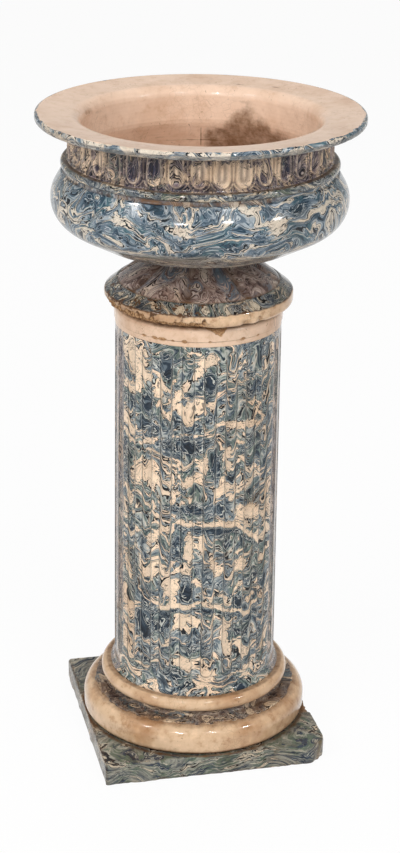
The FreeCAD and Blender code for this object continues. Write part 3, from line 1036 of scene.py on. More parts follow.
# %% The upper roll
upper_round = 9.8 * MM
radius, height, turn, run = swept([
    (shaft_bore, upper_roll_foot, 0, hidden),
    (upper_roll_radius, upper_roll_foot, upper_round, 1.5 * MM),
    (upper_roll_radius, upper_roll_top, upper_round, 1.5 * MM),
    (shaft_bore, upper_roll_top, 0, hidden),
], roll_around)
visible = rise(radius, upper_roll_radius - 9 * MM, upper_roll_radius - 4 * MM)
radius = wobbled(radius, visible, wobble, turn, height, 12)
low_darkening = 1 - rise(height, upper_roll_foot, upper_roll_foot + 4 * MM)
high_dirt = rise(height, upper_roll_top - 1.5 * MM, upper_roll_top)
turned_piece("upper_roll_ring", radius, height, turn,
             {"dirt_and_shade": 0.9 * low_darkening + 0.6 * high_dirt},
             "upper_roll", "stand", roll_finish)

# %% [markdown]
# ## The fluted column
#
# Twenty-four round-ended flutes were pressed into the marbled wall. Each is what a round bar
# would leave if it were laid along the column: a shallow trough whose depth follows from the
# bar's radius. The potter's flutes aren't all alike, so each has its own slight depth and lean.

# %% The column
flute_count = 24
flute_width = 17.5 * MM
flute_depth = 3.5 * MM
flute_foot_gap = 26 * MM
flute_head_gap = 9 * MM
flute_turn = math.radians(11.0)
shaft_top_radius = 114 * MM
shaft_foot_radius = 115.5 * MM
flare_edge = 3 * MM
bar_radius = (flute_width ** 2 / 4 + flute_depth ** 2) / (2 * flute_depth)
arris_softness = 0.35 * MM
# how far the potter strayed: a flute's middle, its ends and its depth as a share
stray, end_stray, top_stray, depth_stray = 0.5 * MM, 1.2 * MM, 0.9 * MM, 0.08
side_chip_depth = 2.5 * MM

radius, height, turn, run = swept([
    (shaft_bore, shaft_foot, 0, hidden),
    (shaft_flare_radius, shaft_foot, 0, 1.5 * MM),
    (shaft_flare_radius, shaft_foot + flare_edge, 0.8 * MM, 1.2 * MM),
    (shaft_foot_radius, shaft_foot + 2 * flare_edge, 9 * MM, 3 * MM),
    (shaft_top_radius, shaft_top, 0, 20 * MM),
    (shaft_bore, shaft_top, 0, 40 * MM),
], flute_count * 34)
step = FULL_TURN / flute_count
number = np.round((turn - flute_turn) / step)
random = np.random.default_rng(5)
habit = random.uniform(-1, 1, size=(3, flute_count))
own = number.astype(int) % flute_count
bend = stray * wander(number * step, height, 15, 20.0)
aside = (turn - flute_turn - number * step) * radius + habit[0][own] * stray + bend
low = shaft_foot + flute_foot_gap + flute_width / 2 + habit[1][own] * end_stray
high = shaft_top - flute_head_gap - flute_width / 2 + habit[0][own] * top_stray
past = np.maximum(np.maximum(low - height, height - high), 0)
chord = np.maximum(bar_radius ** 2 - aside ** 2 - past ** 2, 0)
depth = np.sqrt(chord) - (bar_radius - flute_depth * (1 + depth_stray * habit[1][own]))
cut = (depth + np.sqrt(depth ** 2 + arris_softness ** 2)) / 2
outer = rise(radius, shaft_bore + 4 * MM, shaft_bore + 8 * MM)
x, y = radius * np.cos(turn), radius * np.sin(turn)
uneven = grain(x, y, height, 24 * MM, 16)
radius = wobbled(radius - outer * cut, outer, wobble, turn, height, 13, 12.0)

# how far below or above the flute's edge the wall is, in mm, for the dark line along it
groove = np.where(outer > 0.5, np.clip(depth / MM, -3, 3), -3)
dip = outer * (rise(depth, 0, 2.6 * MM) * (1 + 0.5 * habit[2][own]) + 0.15 * habit[0][own])

# chips on the silhouette
facing = front_angle(turn)
side_chip = spot(np.hypot((facing + 73) / 2.2, (height - 0.201) / (7 * MM)), 1)
side_chip = side_chip + spot(np.hypot((facing + 72) / 1.5, (height - 0.558) / (4 * MM)), 1)
radius = radius - outer * side_chip * side_chip_depth

# %% Where its patches and slab joints lie
shaft_places = (
    (-26, 566, 4, 20, 1.5, 0.22), (-10, 562, 8, 11, 2.2, 0.22), (2, 592, 4, 13, 1.5, 0.22),
    (9, 605, 6, 9, 0, 0.20), (-46, 588, 11, 22, 0, 0.17), (-62, 551, 20, 6, 0.3, 0.18),
    (4, 451, 4.5, 15, 0, 0.24), (-33, 426, 5, 14, 0, 0.22), (22, 470, 4, 9, 1, 0.2),
    (21, 443, 4, 12, 2, 0.2), (19, 418, 8, 8, 0.4, 0.22), (-6, 431, 4, 12, 0, 0.2),
    (41, 376, 9, 9, -0.6, 0.22), (-31, 339, 8, 9, 2.2, 0.22), (-5, 330, 3.5, 32, 1, 0.22),
    (5, 342, 2.5, 20, 1, 0.18), (-17, 269, 7, 15, 0.5, 0.23), (-34, 284, 7, 8, 1, 0.18),
    (14, 300, 4, 14, -2, 0.18), (0, 283, 5, 6, 0, 0.18), (-11, 220, 5, 16, 1, 0.2),
    (22, 190, 4, 24, -3, 0.2), (-7, 151, 6, 9, -0.5, 0.22), (9, 131, 6, 9, 0, 0.2),
    (34, 300, 5, 12, 0, 0.16), (40, 130, 5, 10, 0, 0.16), (30, 509, 22, 5, -0.3, 0.2),
    (-30, 484, 18, 4, 0.7, 0.2), (-4, 497, 12, 3, 0.1, 0.18), (-13, 396, 8, 5, 0, 0.16),
    (-22, 592, 4.5, 22, 0, -0.24), (-36, 536, 7, 18, 0, -0.25), (-51, 532, 5, 12, 0, -0.22),
    (9, 571, 4.5, 15, 0, -0.24), (-10, 483, 20, 16, 0, -0.2), (10, 520, 8, 7, 0, -0.16),
    (-12, 329, 4, 22, 0, -0.24), (-48, 284, 4, 24, 0, -0.2), (-37, 204, 8, 26, 0, -0.24),
    (-22, 209, 6, 20, 0, -0.22), (-5, 264, 5, 16, 0, -0.24), (0, 389, 24, 8, 0, -0.2),
    (12, 355, 12, 7, -0.5, -0.2), (40, 480, 6, 12, 0, -0.14), (14, 450, 3, 20, 0, -0.22),
    (22, 333, 4, 9, 0, -0.2), (-15, 134, 7, 9, 0, -0.2), (30, 245, 6, 9, -0.8, -0.18),
    (44, 560, 6, 14, 0, -0.16), (-60, 440, 8, 40, 0, -0.12), (48, 215, 6, 12, 0, -0.16),
)
upper_joint = np.interp(facing, (-14, 0, 28, 38, 50), (370, 367, 361, 348, 322)) * MM
lower_joint = np.interp(facing, (-28, -10, 5, 30, 43, 54), (233, 241, 245, 229, 219, 198)) * MM
sway = 2.2 * MM * np.cos(flute_count * (turn - flute_turn)) + 4 * MM * (uneven - 0.5)


def joint_band(level, left, right, thickness):
    """A wavy strip of pale clay along a joint between two slabs, and the dark clay under it."""
    up = height + sway - level
    there = span(facing, left, right, 2) * outer
    pale = 0.20 * np.exp(-(up / thickness) ** 2)
    dark = 0.16 * np.exp(-((up + 2.4 * thickness) / thickness) ** 2)
    return there * (pale - dark)


follow = 0.9 * patches(turn, height, shaft_places)
follow = follow + 0.035 * span(-facing, 42, 112, 10) - 0.012
follow = follow + joint_band(upper_joint, -14, 50, 3.6 * MM)
follow = follow + joint_band(lower_joint, -28, 54, 3.0 * MM)
side = span(np.abs(facing), 66, 112, 6)
turned_piece("fluted_column", radius, height, turn, {
    "dirt_and_shade": 0.08 * side, "chip": 0.6 * side_chip * outer, "dip": dip, "groove": groove,
    "side": side, "follow": follow,
}, "column_shaft", "stand", shaft_finish)

# %% [markdown]
# ## The collar
#
# A cream band closes the column, with a joint line a little above its foot. The line has
# flaked in places, and a triangular piece of glaze is missing on the front at the top edge.

# %% The collar
collar_strip = 7 * MM
collar_strip_radius = 114.2 * MM
collar_edge = 8 * MM
collar_vent = 40 * MM
collar_deck = 10 * MM
collar_skin = 104 * MM     # the masks and chips lie outside this radius
joint_level = collar_foot + collar_strip
# degrees right of front, half width and half height in mm
nick_places = ((-39, 3.5, 1.6), (-30, 4.5, 2.0), (-24.5, 5.5, 2.2), (-17, 2.0, 1.4),
               (-9, 3.0, 2.2), (8, 2.2, 1.3), (31, 3.4, 1.8), (44, 2.2, 1.4), (120, 5, 2.4),
               (171, 3, 2), (-120, 4, 2))
# the triangular chip: its upper corners and its point in degrees, and how far down it reaches
chip_left, chip_right, chip_point = 5.0, 20.4, 15.2
chip_reach = 12 * MM
chip_loss, nick_loss, hole_loss, joint_loss = 1.1 * MM, 1.0 * MM, 0.8 * MM, 0.4 * MM
hole_turn, hole_level, hole_radius = 53.6, 0.642, 1.9 * MM

radius, height, turn, run = swept([
    (shaft_bore, collar_foot, 0, hidden),
    (collar_strip_radius, collar_foot, 0, 0.8 * MM),
    (collar_strip_radius, joint_level, 0, 0.3 * MM),
    (collar_radius, joint_level + 0.65 * MM, 0.5 * MM, 0.8 * MM),
    (collar_radius, collar_top, collar_edge, 0.9 * MM),
    (collar_vent, collar_top, 0, hidden),
    (collar_vent, collar_top - collar_deck, 0, hidden),
    (shaft_bore, collar_top - collar_deck, 0, hidden),
], 1200)
facing = front_angle(turn)
x, y = radius * np.cos(turn), radius * np.sin(turn)
ragged = grain(x, y, height, 3 * MM, 31)
outer = rise(radius, collar_skin, collar_skin + 2 * MM)
down = (collar_top - height) / chip_reach
left_edge = chip_left + (chip_point - chip_left) * down + (ragged - 0.5) * 1.6
right_edge = chip_right + (chip_point - chip_right) * down + (ragged - 0.5) * 1.6
chip = rise(facing - left_edge, -0.2, 0.3) * rise(right_edge - facing, -0.2, 0.3) * outer
nicks = np.zeros_like(radius)
for place, half_width, half_height in nick_places:
    across = (facing - place) * math.radians(1) * collar_radius / (half_width * MM)
    up = (height - joint_level - 0.4 * MM) / (half_height * MM)
    nicks = np.maximum(nicks, rise(1.15 + 0.5 * ragged - np.hypot(across, up), 0, 0.35))
hole_aside = (facing - hole_turn) * math.radians(1) * collar_radius
hole = spot(np.hypot(hole_aside, height - hole_level), hole_radius)
crack_line = np.exp(-((facing - 62 + 90 * (height - 0.640)) / 0.35) ** 2) * (height > 0.634)
crack_line = crack_line + np.exp(-((facing - 66 + 40 * (height - 0.640)) / 0.3) ** 2)
joint = np.exp(-((height - joint_level) / (0.7 * MM)) ** 2)
loss = chip * chip_loss + nicks * nick_loss + hole * hole_loss + joint * ragged * joint_loss
radius = radius - outer * loss
radius = wobbled(radius, outer, wobble, turn, height, 14)
# painted shadow of the pot's foot ring on the collar's top edge, darkened through the collar's mask
pot_shadow = rise(height, collar_top - 5 * MM, collar_top - 1 * MM) * (radius > 100 * MM)
dirt_and_shade = (0.45 + 0.3 * ragged) * joint + 0.9 * hole + 0.8 * crack_line * outer + 0.5 * pot_shadow
dirt_and_shade = dirt_and_shade + 0.5 * chip * (1 - rise(down, 0.0, 0.35))
dirt_and_shade = dirt_and_shade + 0.5 * (1 - rise(height, collar_foot, collar_foot + 1.4 * MM)) * outer
turned_piece("collar_band", radius, height, turn,
             {"dirt_and_shade": dirt_and_shade, "chip": np.clip(chip + nicks, 0, 1)},
             "column_collar", "stand", collar_finish)

# %% [markdown]
# ## The foot ring
#
# The pot stands on a cream rim with a sloping marbled band above it. Years of lifting the pot
# on and off have broken away the rim's lower edge on the left of the front, where the bare
# clay shows. The broken part is carved, not painted: the edge itself is ragged.

# %% The foot ring
seat_radius = 104 * MM
seat_bore = 94 * MM
rim_foot = ring_seat + 5 * MM
rim_top = rim_foot + 16 * MM
band_top_radius = 112.5 * MM
# the broken edge: how high it reaches and how deep it goes, evenly, in lumps and in crumbs
break_even, break_lumps, break_crumbs, break_left = 2.5 * MM, 8.5 * MM, 2.0 * MM, 3.5 * MM
bite_even, bite_lumps, bite_crumbs = 0.8 * MM, 3.0 * MM, 1.4 * MM
lift_even, lift_crumbs = 0.6 * MM, 2.2 * MM

radius, height, turn, run = swept([
    (seat_bore, ring_seat, 0, hidden),
    (seat_radius, ring_seat, 0, 1 * MM),
    (rim_radius, rim_foot, 6.5 * MM, 0.9 * MM),
    (rim_radius, rim_top, 5 * MM, 0.9 * MM),
    (band_top_radius, ring_top, 1.5 * MM, 1 * MM),
    (seat_bore, ring_top, 0, hidden),
], 1200)
facing = front_angle(turn)
x, y = radius * np.cos(turn), radius * np.sin(turn)
coarse = grain(x, y, height, 7 * MM, 41)
fine = grain(x, y, height, 2.6 * MM, 42)
# where along the rim: from and to in degrees, fading over, strength
along = span(facing, -86, 6, 6)
for start, end, edge, strength in ((27, 33, 2, 0.55), (38, 44, 2, 0.45), (150, 172, 6, 0.5)):
    along = np.maximum(along, strength * span(facing, start, end, edge))
left_high = break_left * (1 - rise(facing, -45, -20)) * (facing > -100)
break_level = rim_foot + break_even + break_lumps * coarse + break_crumbs * fine + left_high
outer = rise(radius, seat_radius + 3 * MM, seat_radius + 7 * MM)
bite = along * rise(break_level - height, 0, 1.2 * MM) * outer
radius = radius - bite * (bite_even + bite_lumps * coarse + bite_crumbs * fine)
height = height + bite * (height < rim_foot + 6 * MM) * (lift_even + lift_crumbs * fine)

# islands of glaze that stayed on the broken part, by degrees right of front and level
island_places = ((-4.8, 0.670), (-22.8, 0.663), (-14, 0.659), (-40, 0.664), (-55, 0.668))
island = np.zeros_like(radius)
for place, level in island_places:
    away = np.hypot((facing - place) / 2.0, (height - level) / (3 * MM))
    island = np.maximum(island, spot(away, 1))
slip_edge = rim_top + (0.4 + 2.0 * (coarse - 0.5)) * MM
slip = 1 - rise(height, slip_edge - 0.4 * MM, slip_edge + 0.4 * MM)
crevice = along * rise(coarse, 0.50, 0.75) * rise(fine, 0.3, 0.7)
dirt_and_shade = 0.55 * spot(np.abs(height - slip_edge), 1.6 * MM)
dirt_and_shade = dirt_and_shade + 0.8 * (1 - rise(height, rim_foot - 2 * MM, rim_foot + 2.5 * MM)) + 0.9 * crevice
dirt_and_shade = dirt_and_shade + 0.35 * span(facing, -90, 0, 10) * slip + 0.18 * (1 - slip)
ring_places = ((-38.8, 675.5, 2.6, 3.5, 0, -0.25), (25.2, 677.5, 2.4, 3.5, 0, -0.22),
               (53.6, 680, 3.6, 3.5, 0, -0.25), (-12, 677, 4, 5, 0, 0.18), (4, 677, 3, 5, 0, 0.16),
               (38, 677, 4, 5, 0, 0.14), (-28, 678, 4, 4, 0, 0.1))
bare = np.clip(bite * 1.1 - 0.9 * island, 0, 1)
follow = patches(turn, height, ring_places)
turned_piece("foot_ring_rim", radius, height, turn,
             {"dirt_and_shade": dirt_and_shade, "chip": bare, "slip": slip, "follow": follow},
             "foot_ring", "jardiniere", ring_finish)

# %% [markdown]
# ## The lobed dome
#
# Above the ring the foot climbs as a low dome of eight broad lobes. The valleys between them
# are soft, and the marbled layers run round the stem like the rings of a cut stone.

# %% The dome
lobe_count = 8
lobe_turn = math.radians(-89.0)
stem_radius = 48 * MM
stem_bore = 34 * MM
shoulder_radius = 66 * MM
shoulder_level = dome_top - 15 * MM
valley_half = 6.5 * MM
valley_depth, valley_drop = 2.8 * MM, 1.8 * MM
lobe_swell, lobe_lift = 2.2 * MM, 0.6
groove_depth = 1.0 * MM

radius, height, turn, run = swept([
    (88.6 * MM, dome_foot, 0, hidden),
    (dome_radius, dome_foot, 0, 1.4 * MM),
    (shoulder_radius, shoulder_level, 14 * MM, 1.4 * MM),
    (stem_radius, dome_top, 0, hidden),
    (stem_bore, dome_top, 0, hidden),
    (stem_bore, shoulder_level + 6 * MM, 0, hidden),
], 960)
step = FULL_TURN / lobe_count
from_lobe = from_nearest(turn, lobe_turn, lobe_count)
from_valley = (step / 2 - np.abs(from_lobe)) * radius
outer = (run >= 1) & (run <= 2)
climb = rise(height, dome_foot + 1 * MM, dome_foot + 7 * MM)
valley = np.exp(-(from_valley / valley_half) ** 2)
groove = np.exp(-((height - dome_foot) / (1.6 * MM)) ** 2)
along = np.clip((height - dome_foot) / (shoulder_level - dome_foot), 0, 1)
swell = np.sin(math.pi * along) * lobe_swell * (1 - valley)
radius = radius + outer * (swell - valley * climb * valley_depth - groove * groove_depth)
height = height + outer * (swell * lobe_lift - valley * climb * valley_drop)
dome_places = ((36, 700, 5, 9, 0, 0.16), (-15, 701, 5, 9, 0, 0.14), (5.6, 710, 4, 6, 0, 0.2),
               (-55, 693, 9, 7, 0, -0.14), (8, 692, 9, 5, 0, -0.1))
turned_piece("lobed_dome", radius, height, turn,
             {"dirt_and_shade": outer * (0.35 * valley + 0.5 * groove + 0.15),
              "follow": patches(turn, height, dome_places)},
             "foot_dome", "jardiniere", dome_finish)

# %% [markdown]
# ## The bowl
#
# The bowl is one thrown shell: underside, belly, shoulder, neck and a flat flange. Marbled
# clay is outside and cream slip inside, and the slip ends in a ragged line on the lip. Inside,
# the potter's fingers left level rings, and wet earth left a brown patch on the far wall.

# %% The belly's arc
bowl_wall = 12 * MM
belly_radius = 199.9 * MM
belly_level = bowl_foot + 72 * MM
belly_round = 42 * MM
under_slope = math.radians(27.8)
shoulder_lean = math.radians(30.0)
shoulder_rise = 36 * MM


def belly_corner(wall):
    """Corner whose rounding is the belly, for the skin that lies wall inside the outside."""
    rounding = belly_round - wall
    middle = (under_slope - math.pi / 2 + shoulder_lean) / 2
    reach = rounding / math.cos(shoulder_lean - middle)
    centre = belly_radius - belly_round
    return centre + reach * math.cos(middle), belly_level + reach * math.sin(middle), rounding


def on_slope(corner, radius=None, level=None, slope=0.0):
    """The missing radius or level of a point on the straight line through a corner."""
    if radius is None:
        return corner[0] + (level - corner[1]) / math.tan(slope)
    return corner[1] + (radius - corner[0]) * math.tan(slope)


shoulder_slope = math.pi / 2 + shoulder_lean
outer_belly = belly_corner(0)
inner_belly = belly_corner(bowl_wall)
ledge_level = belly_level + shoulder_rise
ledge_radius = on_slope(outer_belly, level=ledge_level, slope=shoulder_slope)
throat_radius = ledge_radius - 3.6 * MM
neck_radius = throat_radius - 12 * MM
mouth_radius = neck_radius - bowl_wall
underside_radius = 137 * MM
underside_level = on_slope(outer_belly, radius=underside_radius, slope=under_slope)
mouth_foot = on_slope(inner_belly, radius=mouth_radius, slope=shoulder_slope)
floor_level = bowl_foot + bowl_wall
floor_radius = on_slope(inner_belly, level=floor_level, slope=under_slope)
neck_top = frieze_foot + 48 * MM
lip_foot = lip_top - 11 * MM
mouth_top = lip_top - 6 * MM
print("ledge radius", round(ledge_radius, 4), "mouth radius", round(mouth_radius, 4))

# %% The bowl's shell
radius, height, turn, run = swept([
    (0, bowl_foot, 0, hidden),
    (stem_radius, bowl_foot, 0, 3 * MM),
    (underside_radius, underside_level, 18 * MM, 3 * MM),
    (*outer_belly, 2.5 * MM),
    (ledge_radius, ledge_level, 0.8 * MM, 0.8 * MM),
    (throat_radius, ledge_level + 1.5 * MM, 0, 1 * MM),
    (throat_radius, bead_foot, 0, 3 * MM),
    (neck_radius, bead_foot, 0, hidden),
    (neck_radius, neck_top, 0, 2.5 * MM),
    (lip_radius, lip_foot, 4 * MM, 1 * MM),
    (lip_radius, lip_top, 4 * MM, 1 * MM),
    (mouth_radius, mouth_top, 15 * MM, 2 * MM),
    (mouth_radius, mouth_foot, 26 * MM, 1.4 * MM),
    (*inner_belly, 2.5 * MM),
    (floor_radius, floor_level, 14 * MM, 4 * MM),
    (0, floor_level, 0, hidden),
], 720)
# the numbers of three runs of this section: under the flange, the lip's edge, the lip's top
FLANGE_RUN, LIP_EDGE_RUN, LIP_TOP_RUN = 8, 9, 10
facing = front_angle(turn)
behind = np.abs(facing)
x, y = radius * np.cos(turn), radius * np.sin(turn)
patch = grain(x, y, height, 13 * MM, 51)
fine = grain(x, y, height, 4 * MM, 52)

# slip inside, marbled clay outside, with a ragged edge on the lip
slip_reach = lip_radius - (0.8 + 4.2 * patch + 1.6 * fine) * MM
slip = (run >= LIP_TOP_RUN) * (1 - rise(radius, slip_reach, slip_reach + 0.6 * MM))

# levels of the dirt: the old water line, the seam of the wall, the floor's dirt, the underside
tide_level = 832 * MM
seam_foot, seam_top = 820 * MM, 851 * MM
floor_clean_from, floor_clean_to = 776 * MM, 812 * MM
under_from, under_to = 768 * MM, 774 * MM

# the brown patch on the far wall: its top edge, as degrees from the front and level
patch_edge = ((120, 0.815), (130, 0.850), (142, 0.866), (149, 0.880), (156, 0.892), (161, 0.888),
              (166, 0.870), (172, 0.856), (180, 0.850))
patch_turns, patch_levels = zip(*patch_edge)
inside = run > LIP_TOP_RUN
edge_level = np.interp(behind, patch_turns, patch_levels) + (patch - 0.5) * 16 * MM
earth = rise(edge_level - height, -8 * MM, 20 * MM) * span(facing, 124, 179, 5)
tide = rise(tide_level - height, -4 * MM, 6 * MM) * span(behind, 130, 200, 10)
seam = np.exp(-((180 - behind) / 0.18) ** 2) * span(height, seam_foot, seam_top, 3 * MM)
on_floor = 1 - rise(height + (patch - 0.5) * 14 * MM, floor_clean_from, floor_clean_to)
wall_dirt = 0.66 * earth + 0.15 * tide * patch + 0.75 * seam
floor_dirt = 0.20 + 0.30 * patch + 0.15 * fine
inner_dirt = inside * (wall_dirt * (1 - on_floor) + floor_dirt * on_floor)

# brown scrapes, as degrees from front, level or (on the flange) radius in mm, half sizes, strength
wall_marks = ((-173, 830, 16, 1.2, 0.5), (-155, 841, 12, 1.0, 0.4), (-162, 836, 8, 1.5, 0.4),
              (-107, 899, 8, 9, 0.5), (-140, 862, 9, 14, 0.25), (-125, 880, 8, 10, 0.25),
              (160, 892, 10, 3, 0.25), (-178, 893, 3, 6, 0.3), (-88, 889, 9, 8, 0.3),
              (-76, 878, 7, 8, 0.25), (-118, 892, 6, 3, 0.35), (104, 884, 8, 8, 0.2))
flange_marks = ((163, 178, 3.5, 2.5, 0.8), (146, 184, 4, 3, 0.8), (-152, 164, 5, 5, 0.45),
                (176, 196, 1.0, 12, 0.45), (-96, 168, 5, 6, 0.4), (95, 175, 6, 7, 0.3),
                (84, 196, 1.2, 10, 0.3), (108, 200, 0.8, 9, 0.3), (-70, 203, 5, 4, 0.2),
                (-130, 205, 4, 3, 0.2), (66, 186, 5, 4, 0.2))
for marks, there, measure, reach in ((wall_marks, inside, height, 1.4),
                                     (flange_marks, run == LIP_TOP_RUN, radius, 1.2)):
    for place, level, half_width, half_height, strength in marks:
        across = half_turn_at_most(facing - place) / half_width
        away = np.hypot(across, (measure / MM - level) / half_height)
        inner_dirt = inner_dirt + there * strength * spot(away, reach)

# throwing rings inside, and a slow wobble outside that never passes the lip
ring_pitch = 5.5 * MM
ring_height = 0.12 * MM
rings = np.sin(height * FULL_TURN / ring_pitch + 2 * wander(turn, height, 53)) * ring_height
radius = radius + inside * (radius < neck_radius) * (radius > 40 * MM) * rings
belly_side = (run >= 1) & (run <= 3)
radius = wobbled(radius, belly_side, wobble, turn, height, 54, 18.0)
lip_edge = (run == LIP_EDGE_RUN) | (run == LIP_TOP_RUN)
lip_wobble, lip_chips = 0.4 * MM, 0.9 * MM
lip_wear = lip_wobble * (1 + wander(turn, height, 55)) + lip_chips * rise(fine, 0.6, 0.9)
radius = radius - lip_edge * lip_wear * rise(radius, 212 * MM, 218 * MM)

# painted shade on the flange's underside next to the neck, darkened through the bowl's mask
under_flange_shade = spot(np.abs(radius - neck_radius - 8 * MM), 9 * MM) * (run == FLANGE_RUN)
# the brown line under the bead, strongest at the front
rust_foot = ledge_level - (3.0 * patch - 1.4) * MM
rust = span(height, rust_foot, bead_foot, 0.6 * MM) * (run <= 6) * (run >= 3)
off_throat = rise(radius, throat_radius + 0.5 * MM, throat_radius + 3 * MM)
rust = rust * (1 - (1.1 - 0.7 * patch) * off_throat)
lip_line = (run == LIP_EDGE_RUN) * (1 - rise(height, lip_foot, lip_foot + 2 * MM))
rust = rust * (0.25 + 0.5 * span(facing, -26, 34, 12) + 0.25 * wander(turn, 0 * height, 56))
outer_dirt_and_shade = (0.75 + 0.5 * fine) * rust + 0.8 * under_flange_shade + 0.5 * lip_line + 0.12 * (run == 1)
# patches as on the column
bowl_places = (
    (-44.4, 832, 2.2, 3, 0, 0.26), (-44.4, 832, 6, 9, 0, -0.14), (-32, 825, 2.2, 16, -0.6, 0.26),
    (-52, 800, 9, 9, -1, 0.10), (-8, 808, 6, 5, -0.4, 0.18), (17, 832, 3.5, 8, -1.6, 0.22),
    (30, 806, 4, 15, 1.0, 0.20), (51, 819, 6, 9, 0.5, 0.10), (57, 803, 4, 12, 0, 0.08),
    (-18, 783, 9, 4, 0.4, 0.16), (-23, 822, 5, 6, 0, 0.10), (70, 820, 4, 10, 0, 0.06),
    (-66, 794, 5, 12, 0, 0.16), (20, 806, 4, 5, 1, 0.12), (-16, 912, 5, 4, 0, 0.22),
    (7, 909, 5, 3, 0, 0.20), (-34, 911, 4, 4, 0, 0.16), (33, 908, 4, 4, 0, 0.14),
    (1, 828, 7, 7, 0, -0.16), (13, 826, 5, 7, -1, -0.18), (41, 822, 5, 8, 0, -0.2),
    (-34, 801, 7, 6, 0, -0.18), (-18, 804, 6, 6, 0, -0.16), (-4, 775, 10, 3, 0.2, -0.16),
    (23, 795, 4, 6, 0, -0.16), (16, 911, 6, 4, 0, -0.22), (-60, 830, 6, 8, 0, -0.12),
)
under = 1 - rise(height + (patch - 0.5) * 9 * MM, under_from, under_to)
under = np.maximum(under, 0.75 * ((run == FLANGE_RUN) | (run == LIP_EDGE_RUN)))
turned_piece("bowl_shell", radius, height, turn,
             {"dirt_and_shade": inner_dirt + outer_dirt_and_shade, "slip": slip, "under": under,
              "follow": 0.75 * patches(turn, height, bowl_places)},
             "bowl", "jardiniere", bowl_finish)

# %% [markdown]
# ## The bead ring and the leaves
#
# A half-round ring covers the joint at the neck's foot. Above it stands a band of thirty-eight
# upright leaves, each a dished tongue inside a raised rim, with a rib in every gap. They were
# pressed from a mould, so they are all alike but for the softening of the glaze. The relief is
# a formula of the distance to a leaf's edge, which gives the rim, the dish and the gap at once.

# %% The bead ring
radius, height, turn, run = swept([
    (neck_radius, bead_foot, 0, hidden),
    (bead_radius, bead_foot, 5.2 * MM, 0.9 * MM),
    (bead_radius, bead_top, 5.2 * MM, 0.9 * MM),
    (neck_radius, bead_top, 0, hidden),
], 720)
outer = rise(radius, bead_radius - 5 * MM, bead_radius - 3 * MM)
radius = wobbled(radius, outer, 0.5 * MM, turn, height, 61)
dirt_and_shade = 0.85 * (1 - rise(height, bead_foot, bead_foot + 3 * MM))
dirt_and_shade = dirt_and_shade + 0.6 * rise(height, bead_top - 2 * MM, bead_top)
turned_piece("bead_moulding", radius, height, turn, {"dirt_and_shade": dirt_and_shade},
             "bead_ring", "jardiniere", bead_finish)

# %% The leaves
leaf_count = 38
leaf_turn = math.radians(-103.4)
leaf_half = 11.2 * MM
leaf_tip_gap = 3.5 * MM
leaf_widest = 14 * MM
frieze_face = 174.4 * MM
toe = 3 * MM
toe_height = 9 * MM
rim_height, dish_depth, boss_height = 2.6, 1.8, 0.9     # mm
rib_height, arch_height, gap_depth = 1.6, 1.3, 0.9


def leaf_relief(turn, height):
    """How far the pressed leaves stand out from the band's face, and how deep in a gap."""
    pitch = FULL_TURN / leaf_count * frieze_face
    across = np.abs(from_nearest(turn, leaf_turn, leaf_count)) * frieze_face
    climb = height - frieze_foot - leaf_tip_gap
    low_part = np.hypot(across / leaf_half, (leaf_widest - climb) / leaf_widest)
    narrowing = 1 - 0.14 * rise(climb, leaf_widest, neck_top - frieze_foot)
    within = np.where(climb < leaf_widest, (1 - low_part) * leaf_half,
                      leaf_half * narrowing - across)
    rim = np.exp(-((within - 1.7 * MM) / (1.15 * MM)) ** 2)
    dish = rise(within, 2.2 * MM, 8.0 * MM)
    gap = pitch / 2 - across
    rib = np.exp(-(gap / (1.2 * MM)) ** 2) * rise(climb, 7 * MM, 12 * MM)
    flare = 0.8 * MM + 5.2 * MM * (1 - climb / (8 * MM)) ** 2
    arch = np.exp(-((gap - flare) / (0.9 * MM)) ** 2) * (within < 0)
    arch = arch * span(climb, -1 * MM, 7 * MM, 1 * MM)
    boss = np.exp(-(across / (2.2 * MM)) ** 2) * span(climb, 12 * MM, 30 * MM, 8 * MM)
    outside_leaf = 1 - rise(within, -1.5 * MM, 1 * MM)
    relief = rim_height * rim - dish_depth * dish + boss_height * boss
    relief = relief + rib_height * rib * outside_leaf + arch_height * arch
    sunk = outside_leaf * (1 - rib) * (1 - arch)
    # rims painted lighter, partly thin glaze and partly painted highlight; hollows darker, partly
    # pooled glaze and partly painted shade
    ridge_and_highlight = np.clip(rim + 0.8 * arch + 0.6 * rib * outside_leaf, 0, 1)
    pool_and_shade = np.clip(dish * (1 - boss) * 0.9 + 0.8 * sunk, 0, 1)
    return (relief - gap_depth * sunk) * MM, ridge_and_highlight, pool_and_shade


radius, height, turn, run = swept([
    (neck_radius, frieze_foot, 0, hidden),
    (frieze_face + toe, frieze_foot, 0, 0.8 * MM),
    (frieze_face, frieze_foot + toe_height, 8 * MM, 0.8 * MM),
    (frieze_face, frieze_top, 0, hidden),
    (neck_radius, neck_top, 0, hidden),
], leaf_count * 32)
face = ((run == 1) | (run == 2)) * rise(height, frieze_foot, frieze_foot + 1.5 * MM)
relief, ridge_and_highlight, pool_and_shade = leaf_relief(turn, height)
radius = radius + face * relief
worn = grain(radius * np.cos(turn), radius * np.sin(turn), height, 12 * MM, 71)
